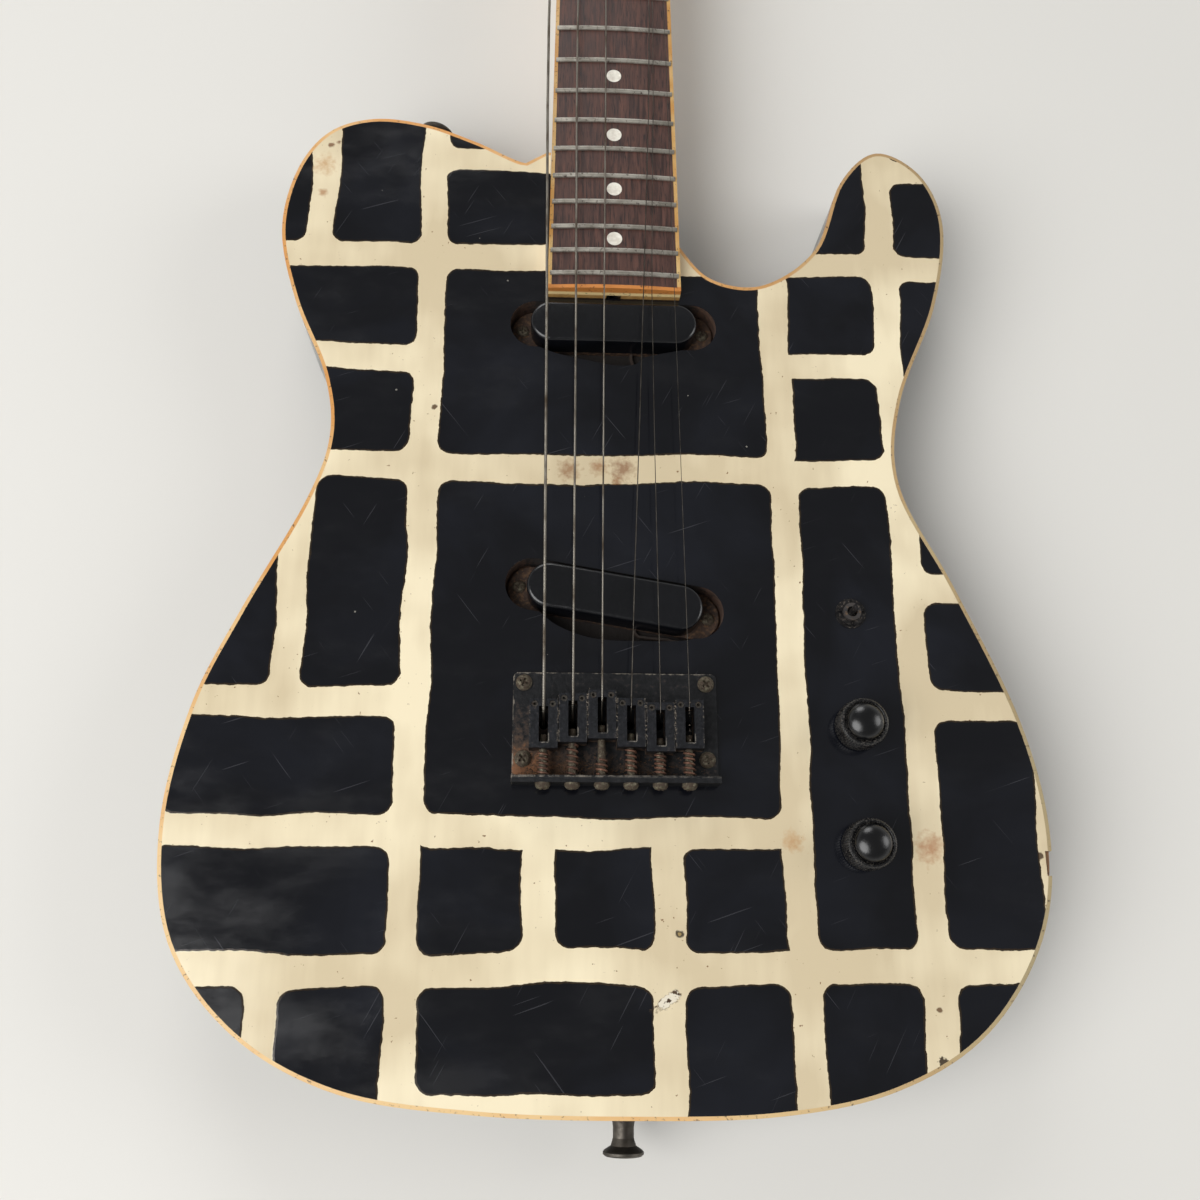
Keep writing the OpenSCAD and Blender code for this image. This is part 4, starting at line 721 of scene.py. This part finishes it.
# open-pored and dry: short dark streaks and hardly a shine
ROSEWOOD = Timber("rosewood", "#5b3a30", "#2b1a17", "#130c0b", (0.42, 0.6), streak=1.3, pores=0.85)
# drawn nickel silver, dull, with dirt at its feet
FRET_WIRE = Worn("dull_fret_wire", "#b3aea4", "#8b867c", (0.42, 0.56), metal=0.9, mottle=5, grit=0.6,
                 wear=Wear.HANDLED, dirt="#3c3028", patch=1.6)
# pressed plastic pearl: milky patches under a shine
PEARLOID = Worn("pearloid_dot", "#f0ece0", "#d9d2c4", (0.2, 0.32), mottle=2.2, grit=1.2, grit_depth=0.004,
                coat=0.3)
# sawn bone: waxy and unevenly yellowed
BONE = Worn("yellowed_bone_nut", "#d8c9a0", "#bfa873", (0.35, 0.5), ior=1.54, mottle=3, wear=Wear.HANDLED,
            patch=1.2)
# bare rolled steel: soft grey shine with brown freckles
STEEL = Worn("plain_steel", "#a09c95", "#827c73", (0.28, 0.45), metal=0.95, wear=Wear.HANDLED,
             dirt="#5b4634", patch=2.4)
# nickel plate gone dull: dark, with blurred highlights
NICKEL = Worn("dull_nickel", "#625d56", "#413d38", (0.42, 0.58), metal=0.92, mottle=6, wear=Wear.HANDLED,
              dirt="#3a332b", patch=2.8)
# zinc plate eaten through: matt brown with a few grey glints
RUSTY = Worn("rusty_screw", "#77715f", "#514b3d", (0.4, 0.6), metal=0.75, mottle=2.0, grit=0.6,
             wear=Wear.RUSTED, dirt="#3c3024", patch=1.3)
# blacked steel, grey again where the key has worked
GRUB = Worn("blacked_grub_screw", "#3a3937", "#57524b", (0.4, 0.6), metal=0.7, mottle=1.0, grit=0.5,
            wear=Wear.DUSTY, dirt="#3a2d22", patch=0.8)
# bare spring wire: red-brown rust over a thin metal shine
SPRING = Worn("rusty_spring_wire", "#7d5a48", "#463229", (0.42, 0.62), metal=0.6, mottle=7, grit=0.5,
              wear=Wear.DUSTY, dirt="#4e3021", patch=1.1)
# moulded ABS: an even, satin black
COVER = Worn("satin_black_abs", "#08090c", "#0d0e12", (0.17, 0.27), ior=1.53, mottle=16, grit=1.3,
             grit_depth=0.008)
# vulcanised fibre: matt brown, with dust in its texture
BASE = Worn("vulcanised_fibre", "#3c2a1f", "#281c15", (0.7, 0.85), grit=0.7, wear=Wear.DUSTY,
            dirt="#604630", patch=1.6)
# moulded nylon: plain half-matt black
BOBBIN = Worn("moulded_black_nylon", "#17171a", "#1f1f23", (0.4, 0.55))
# enamelled copper, wound in level turns: orange bands of light
COIL = Worn("enamelled_copper_wire", "#9a5128", "#7b3c1c", (0.28, 0.4), metal=0.8, grit=0.3,
            stretch=(40, 40, 1))
# sintered ferrite: dark grey and dead flat
MAGNET = Worn("dark_ferrite", "#3c3c40", "#2e2e31", (0.5, 0.65), metal=0.2, ior=2.0)
# pressed phenolic: dull brown-black
SWITCH = Worn("phenolic_switch_case", "#2c2a2a", "#3a3532", (0.45, 0.6), wear=Wear.HANDLED, patch=2)
# blacked steel, handled until the edges are grey
BLACK_NUT = Worn("blacked_steel_nut", "#1b1b1d", "#343232", (0.34, 0.5), metal=0.7, mottle=2.2, grit=0.5,
                 wear=Wear.HANDLED, dirt="#6a6056", patch=0.9)
# aluminium, turned: fine rings across a clean grey
SHAFT = Worn("turned_aluminium", "#a7a49d", "#8f8c85", (0.26, 0.36), metal=0.95, grit=0.4,
             stretch=(1, 1, 0.2))
# tin plate: bright, with cloudy fingermarks
POT_CASE = Worn("tinned_steel_case", "#a49f92", "#8a8478", (0.28, 0.42), metal=0.9, wear=Wear.HANDLED)
# laminate sheet, scuffed along its length
BACK_COVER = Worn("scuffed_black_plastic", "#161618", "#222226", (0.3, 0.5), ior=1.53, mottle=18,
                  grit=1.4, stretch=(1, 8, 1), wear=Wear.HANDLED, dirt="#37332d", patch=6)
# pressed steel, blacked: dust on a low shine
BLACK_PLATE = Worn("blacked_steel_plate", "#222224", "#3c3a38", (0.34, 0.5), metal=0.75, mottle=4,
                   wear=Wear.DUSTY, dirt="#4c4036", patch=2.2)
# die-cast and black-plated: half gloss, with grime in the corners
TUNER_CASE = Worn("black_tuner_case", "#1a1a1c", "#2b2a2a", (0.3, 0.44), metal=0.7, mottle=6,
                  wear=Wear.HANDLED, dirt="#504438", patch=2.4)
# PVC insulation: soft dark shine
LEAD = Worn("pvc_lead", "#3a2f28", "#241f1c", (0.4, 0.5), ior=1.54)
# drawn steel, tarnished: a thin dark line with a glint
PLAIN_STRING = Worn("plain_steel_string", "#5f5b55", "#3f3932", (0.36, 0.5), metal=0.95, mottle=7,
                    grit=0.5)
# flaked rust: crumbly, without any shine
CRUMB = Worn("rust_crumbs", "#604732", "#35281f", (0.85, 1.0), mottle=1.5, grit=0.4, grit_depth=0.06)
# packed dust and skin: pale and powdery
DUST = Worn("pale_packed_dust", "#8a8074", "#574a3d", (0.9, 1.0), mottle=2.0, grit=0.4, grit_depth=0.06)
# nickel wound on steel: ribbed, and brown where it has not been played
WOUND = RoundWound()


# ---- meshes

def dress(finish: Finish, *nodes: str) -> None:
    """Gives CAD nodes a finish.

    Args:
        finish: What they are made of.
        nodes: The CAD nodes' names.
    """
    for name in nodes:
        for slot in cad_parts[name].material_slots:
            slot.material = material_of(finish)
        LOG.info("%s: %s", name, finish.name)


def piece(name: str, mesh: Mesh, finish: Finish, body: str,
          smooth: float = 35.0) -> Any:
    """Turns a built mesh into a piece that rides on a CAD body.

    Args:
        name: The piece's name.
        mesh: Its mesh in millimetres, in the object's own frame.
        finish: What it is made of.
        body: The CAD body that it moves with.
        smooth: Edges under this angle in degrees are shaded smooth.

    Returns:
        The new object.
    """
    bmesh.ops.scale(mesh, vec=(MM, MM, MM), verts=mesh.verts)
    bmesh.ops.recalc_face_normals(mesh, faces=mesh.faces)
    data = bpy.data.meshes.new(name)
    mesh.to_mesh(data)
    mesh.free()
    data.shade_smooth()
    data.set_sharp_from_angle(angle=math.radians(smooth))
    data.materials.append(material_of(finish))
    made = bpy.data.objects.new(name, data)
    bpy.context.scene.collection.objects.link(made)
    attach(made, body)
    LOG.info("%s: %d faces, %s", name, len(data.polygons), finish.name)
    return made


def loft(mesh: Mesh, rings: list[list[Vector]]) -> None:
    """Skins rings of equal length and caps both ends.

    Args:
        mesh: The mesh to add to.
        rings: Each ring's points, in order.
    """
    loops = [[mesh.verts.new(p) for p in ring] for ring in rings]
    count = len(rings[0])
    for a, b in zip(loops, loops[1:]):
        for k in range(count):
            mesh.faces.new((a[k], a[(k + 1) % count], b[(k + 1) % count], b[k]))
    mesh.faces.new(list(reversed(loops[0])))
    mesh.faces.new(loops[-1])


def capsule_ring(length: float, width: float, z: float, steps: int = 24) -> list[Vector]:
    """Points round a slot-shaped outline.

    Args:
        length: Overall length along X.
        width: Overall width along Y.
        z: Height of the ring.
        steps: Points round each end.

    Returns:
        The ring's points.
    """
    r = width / 2
    run = length / 2 - r
    points = []
    for s in (1, -1):
        for k in range(steps + 1):
            a = math.pi * (k / steps - 0.5) + (0 if s > 0 else math.pi)
            points.append(Vector((s * run + r * math.cos(a), r * math.sin(a), z)))
    return points


def tube(mesh: Mesh, points: list[Vector], radius: float, sides: int = 12) -> None:
    """Sweeps a round section along points.

    Args:
        mesh: The mesh to add to.
        points: The centre line.
        radius: The section's radius.
        sides: Points round the section.
    """
    rings = []
    normal = Vector((0, 0, 1))
    for k, p in enumerate(points):
        ahead = (points[min(k + 1, len(points) - 1)] - points[max(k - 1, 0)]).normalized()
        normal = (normal - ahead * normal.dot(ahead))
        normal = normal.normalized() if normal.length > 1e-6 else ahead.orthogonal().normalized()
        across = ahead.cross(normal)
        rings.append([p + (normal * math.cos(a) + across * math.sin(a)) * radius
                      for a in (2 * math.pi * s / sides for s in range(sides))])
    loft(mesh, rings)


# ---- sub-assemblies

@dataclass
class BodyShell:
    """The lacquered body with its binding, and what is screwed to its sides and back."""

    def build(self) -> None:
        """Dresses the body's CAD nodes."""
        dress(LACQUER, "body")
        dress(BODY_BINDING, "front_binding")
        dress(NICKEL, "strap_buttons", "strap_button_screws", "string_ferrules", "output_jack")
        dress(RUSTY, "neck_screws", "small_screws")
        dress(BACK_COVER, "control_cover")
        dress(BLACK_PLATE, "jack_plate", "neck_plate")


@dataclass
class Neck:
    """The bolted-on neck, its board, frets, dots and nut."""

    def build(self) -> None:
        """Dresses the neck's CAD nodes."""
        dress(MAPLE, "neck")
        dress(ROSEWOOD, "fretboard")
        dress(BOARD_BINDING, "fretboard_binding")
        dress(FRET_WIRE, "frets")
        dress(PEARLOID, "dot_inlays")
        dress(BONE, "nut")
        dress(STEEL, "truss_rod")
        dress(NICKEL, "string_tree")


@dataclass
class Strings:
    """Six old strings: three wound and three plain, slack and out of place on the board."""

    wound: int = 3

    def build(self) -> None:
        """Dresses the strings' CAD nodes."""
        for k in range(6):
            dress(WOUND if k < self.wound else PLAIN_STRING, f"string_{k + 1}")


@dataclass
class Pickup:
    """One pickup's moulded cover, with softly rounded edges and a faint crown.

    Lengths are in millimetres and the turn is in degrees.
    """

    node: str
    turn: float
    length: float = 69.0
    width: float = 18.0
    fillet: float = 1.5
    crown: float = 0.25
    steps: int = 6

    def build(self) -> None:
        """Makes the cover in its CAD node's place."""
        low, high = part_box(self.node)
        middle = (low + high) / 2 / MM
        base, top = low.z / MM, high.z / MM
        rings = [capsule_ring(self.length, self.width, base)]
        shoulder = top - self.crown
        for k in range(self.steps + 1):
            a = math.pi / 2 * k / self.steps
            inward = 2 * self.fillet * (1 - math.cos(a))
            z = shoulder - self.fillet * (1 - math.sin(a))
            rings.append(capsule_ring(self.length - inward, self.width - inward, z))
        for share in (0.25, 0.5, 0.75, 0.95):
            inward = 2 * self.fillet + (self.width - 2 * self.fillet) * share
            z = shoulder + self.crown * (1 - (1 - share) ** 2)
            rings.append(capsule_ring(self.length - inward, self.width - inward, z))
        mesh = bmesh.new()
        loft(mesh, rings)
        turned = Matrix.Rotation(math.radians(self.turn), 4, "Z")
        place = Matrix.Translation((middle.x, middle.y, 0)) @ turned
        bmesh.ops.transform(mesh, matrix=place, verts=mesh.verts)
        made = piece(f"{self.node}_shell", mesh, COVER, "guitar", 50)
        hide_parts(self.node)


@dataclass
class Pickups:
    """Both pickups, with their bases, bobbins, coils and magnets."""

    covers: tuple[Pickup, ...] = (Pickup("neck_pickup_cover", 0.0), Pickup("bridge_pickup_cover", -9.4))

    def build(self) -> None:
        """Makes the covers and dresses what is under them."""
        for cover in self.covers:
            cover.build()
        dress(BASE, "pickup_bases")
        dress(BOBBIN, "pickup_bobbins")
        dress(COIL, "pickup_coils")
        dress(MAGNET, "pickup_magnets")
        dress(LEAD, "wiring")


@dataclass
class Bridge:
    """The string-through bridge, its six saddles and springs, and the dirt of years between them."""

    saddle: float = 18.2
    coil_radius: float = 1.84
    wire: float = 0.42
    turns: int = 5
    steps: int = 28
    broken: int = 2
    crumbs: int = 620
    motes: int = 420
    dirt_half: float = 36.5
    dirt_heap: float = -30.0
    dirt_back: float = -26.8
    seed: int = 7

    def build(self) -> None:
        """Dresses the bridge, and adds its springs and dirt."""
        dress(DustyPlate(), "bridge_plate")
        dress(WornSaddle(), "saddles")
        dress(RUSTY, "bridge_screws", "intonation_screws")
        dress(GRUB, "saddle_height_screws")
        self.springs()
        self.dirt()

    def springs(self) -> None:
        """Winds the six springs between the lip and the saddles."""
        low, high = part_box("intonation_screws")
        z = (low.z + high.z) / 2 / MM
        mesh = bmesh.new()
        start = LIP + self.wire + 0.05
        for k, front in enumerate(FRONTS):
            length = front - self.saddle - start - self.wire - 0.05
            turns = self.turns
            if k == self.broken:
                length, turns = length * 0.45, 3
            count = turns * self.steps
            points = []
            for s in range(count + 1):
                a = math.radians(60 * k) + 2 * math.pi * turns * s / count
                out = Vector((math.cos(a), 0, math.sin(a))) * self.coil_radius
                points.append(Vector((lane(k), start + length * s / count, z)) + out)
            tube(mesh, points, self.wire, 10)
        made = piece("saddle_spring_coils", mesh, SPRING, "guitar", 60)
        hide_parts("saddle_springs")

    def dirt(self) -> None:
        """Packs rust crumbs behind the saddles, and pale dust along their fronts and in their joints."""
        dice = random.Random(self.seed)
        mesh = bmesh.new()
        for _ in range(self.crumbs):
            x = dice.triangular(-self.dirt_half, self.dirt_half, self.dirt_heap)
            y = dice.choice((dice.uniform(self.dirt_back, -18.5),
                             dice.triangular(self.dirt_back, -20, -26.6)))
            self.crumb(mesh, Vector((x, y, PLATE_TOP + 0.05)), dice.uniform(0.1, 0.36), dice)
        piece("bridge_crumbs", mesh, CRUMB, "guitar", 20)
        mesh = bmesh.new()
        for _ in range(self.motes):
            k = dice.choice((0, 1, 1, 2, 2, 3, 3, 4, 4, 5))
            x = lane(k)
            if dice.random() < 0.75:
                x += dice.uniform(-5.2, 5.2)
                at = Vector((x, FRONTS[k] + abs(dice.gauss(0, 0.7)), PLATE_TOP + 0.05))
            else:
                step = 1 if k < 5 else 0
                behind = min(FRONTS[k], FRONTS[k + step])
                x += PITCH / 2 * step + dice.gauss(0, 0.12)
                at = Vector((x, behind - dice.uniform(0.5, 16.0), SADDLE_TOP))
            self.crumb(mesh, at, dice.uniform(0.08, 0.26), dice)
        piece("bridge_dust", mesh, DUST, "guitar", 20)

    def crumb(self, mesh: Mesh, at: Vector, size: float, dice: random.Random) -> None:
        """Adds one crumb.

        Args:
            mesh: The mesh to add to.
            at: The crumb's middle.
            size: Its radius.
            dice: Where its lumps come from.
        """
        made = bmesh.ops.create_icosphere(mesh, subdivisions=1, radius=size)["verts"]
        for v in made:
            v.co = Vector((v.co.x * 1.3, v.co.y, v.co.z * 0.7)) * dice.uniform(0.65, 1.25) + at


@dataclass
class Knob:
    """One control knob: a knurled wall under a polished dome."""

    node: str
    body: str
    radius: float = 9.3
    wall: float = 10.8
    ridges: int = 60
    depth: float = 0.32
    dome: float = 7.0
    bore: float = 6.7
    hollow: float = 4.2
    steps: int = 13

    def build(self) -> None:
        """Makes the knob in its CAD node's place."""
        low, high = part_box(self.node)
        middle = (low + high) / 2 / MM
        foot = Vector((middle.x, middle.y, low.z / MM))
        height = (high.z - low.z) / MM
        r, wall = self.radius, self.wall
        # each ring's radius, height, and share of the knurls' depth
        profile = [(self.bore, self.hollow, 0), (self.bore, 0, 0), (r - 0.7, 0, 0), (r - 0.25, 0.25, 0.3),
                   (r, 0.8, 1), (r, wall - 1.3, 1), (r - 0.25, wall - 0.7, 0.6), (r - 0.9, wall - 0.1, 0),
                   (r - 1.5, wall, 0), (r - 1.9, wall - 0.2, 0), (self.dome + 0.15, wall - 0.45, 0)]
        for k in range(self.steps):
            a = math.pi / 2 * k / self.steps
            profile.append((self.dome * math.cos(a), wall + (height - wall) * math.sin(a), 0))
        profile.append((0.02, height, 0))
        around = self.ridges * 4
        rings = []
        for reach, z, knurl in profile:
            ring = []
            for s in range(around):
                out = reach - self.depth * knurl * (0, 0.5, 1, 0.5)[s % 4]
                a = 2 * math.pi * s / around
                ring.append(Vector((out * math.cos(a), out * math.sin(a), z)) + foot)
            rings.append(ring)
        mesh = bmesh.new()
        loft(mesh, rings)
        made = piece(f"{self.node}_cap", mesh, DustyKnob(), self.body, 30)
        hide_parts(self.node)


@dataclass
class Controls:
    """Two knobs on their pots and the selector with its bare lever, each under its nut."""

    knobs: tuple[Knob, ...] = (Knob("volume_knob", "volume_control"), Knob("tone_knob", "tone_control"))

    def build(self) -> None:
        """Makes the knobs and dresses the rest."""
        for knob in self.knobs:
            knob.build()
        dress(SHAFT, "volume_shaft", "tone_shaft")
        dress(POT_CASE, "control_pots")
        dress(SWITCH, "selector_switch")
        dress(BLACK_NUT, "control_nuts", "selector_lever")


@dataclass
class Tuners:
    """Six sealed machine heads with their keys, posts and bushings."""

    def build(self) -> None:
        """Dresses the tuners' CAD nodes."""
        dress(TUNER_CASE, "tuner_housings", *(f"tuner_key_{k + 1}" for k in range(6)))
        dress(NICKEL, "tuner_bushings", *(f"tuner_post_{k + 1}" for k in range(6)))


@dataclass
class Studio:
    """A pale floor, soft daylight lamps and the camera. Lengths are in millimetres, angles in degrees."""

    eye: Triple = (-28.7, -92.4, 490.0)
    aim: Triple = (16.76, -2.96, 0.01)
    lens: float = 36.0
    floor: float = 40000.0
    floor_colour: str = "#d9d7d2"
    backdrop: float = 0.74
    fade: Pair = (600.0, 1500.0)
    middle: Triple = (0.0, 300.0, 0.0)
    sky: float = 0.2
    lit: Triple = (0.0, 60.0, 20.0)
    lamps: tuple[tuple[str, tuple[float, float, float], float, float], ...] = (
        ("key", (-1450, -750, 1700), 2200, 62.0), ("fill", (2300, 300, 1300), 1500, 19.0),
        ("top", (-500, 2900, 1500), 1700, 30.0))

    def build(self) -> None:
        """Makes the floor, the lamps, the sky and the camera."""
        scene = bpy.context.scene
        scene.view_settings.view_transform = "Standard"
        self.ground()
        for name, at, size, power in self.lamps:
            lamp = bpy.data.lights.new(name, "AREA")
            lamp.shape, lamp.size, lamp.energy = "DISK", size * MM, power
            stand = bpy.data.objects.new(name, lamp)
            stand.location = Vector(at) * MM
            aim = Vector(self.lit) * MM - stand.location
            stand.rotation_euler = aim.to_track_quat("-Z", "Y").to_euler()
            scene.collection.objects.link(stand)
        self.sky_dome()
        data = bpy.data.cameras.new("camera")
        data.lens, data.sensor_width, data.clip_start = self.lens, 36.0, 0.01
        camera = bpy.data.objects.new("camera", data)
        camera.location = Vector(self.eye) * MM
        camera.rotation_euler = [math.radians(a) for a in self.aim]
        scene.collection.objects.link(camera)
        scene.camera = camera

    def ground(self) -> None:
        """Makes the floor that the back rests on."""
        half = self.floor * MM / 2
        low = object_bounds()[0][2]
        mesh = bmesh.new()
        signs = ((-1, -1), (1, -1), (1, 1), (-1, 1))
        mesh.faces.new([mesh.verts.new((x * half, y * half, low)) for x, y in signs])
        data = bpy.data.meshes.new("floor")
        mesh.to_mesh(data)
        mesh.free()
        g = Graph("pale_matt_paper")
        material = g.finish(Base_Color=self.floor_colour, Roughness=0.9)
        # far from the object, the paper runs up into the bright backdrop
        out = g.add("VectorMath DISTANCE", g.mm, self.middle)
        far = g.add("MapRange", out, self.fade[0], self.fade[1], interpolation_type="SMOOTHSTEP")
        strength = self.backdrop / linear(self.floor_colour)[1]
        glow = g.add("Emission", Color=self.floor_colour, Strength=strength)
        fill(g.tree, g.output, g.add("MixShader", far, g.shader, glow))
        data.materials.append(material)
        made = bpy.data.objects.new("floor", data)
        bpy.context.scene.collection.objects.link(made)
        made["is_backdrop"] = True

    def sky_dome(self) -> None:
        """Lights the scene from all round: dim overhead, and as bright as the backdrop at the horizon."""
        world = bpy.data.worlds.new("sky")
        bpy.context.scene.world = world
        world.use_nodes = True
        tree = world.node_tree
        tree.nodes.clear()
        up = add(tree, "SeparateXYZ", add(tree, "TexCoord").outputs["Generated"])
        strength = add(tree, "MapRange", up.outputs[2], 0.0, 0.55, self.backdrop, self.sky,
                       interpolation_type="SMOOTHSTEP")
        glow = add(tree, "Background", Strength=strength, Color=(1, 1, 0.98, 1))
        add(tree, "OutputWorld", Surface=glow)


def main() -> None:
    """Builds the guitar's looks class by class, then the studio."""
    logging.basicConfig(level=logging.INFO, format="%(name)s %(message)s")
    Studio().build()
    for part in (BodyShell(), Neck(), Strings(), Pickups(), Bridge(), Controls(), Tuners()):
        LOG.info("building %s", type(part).__name__)
        part.build()


if __name__ == "__main__":
    main()
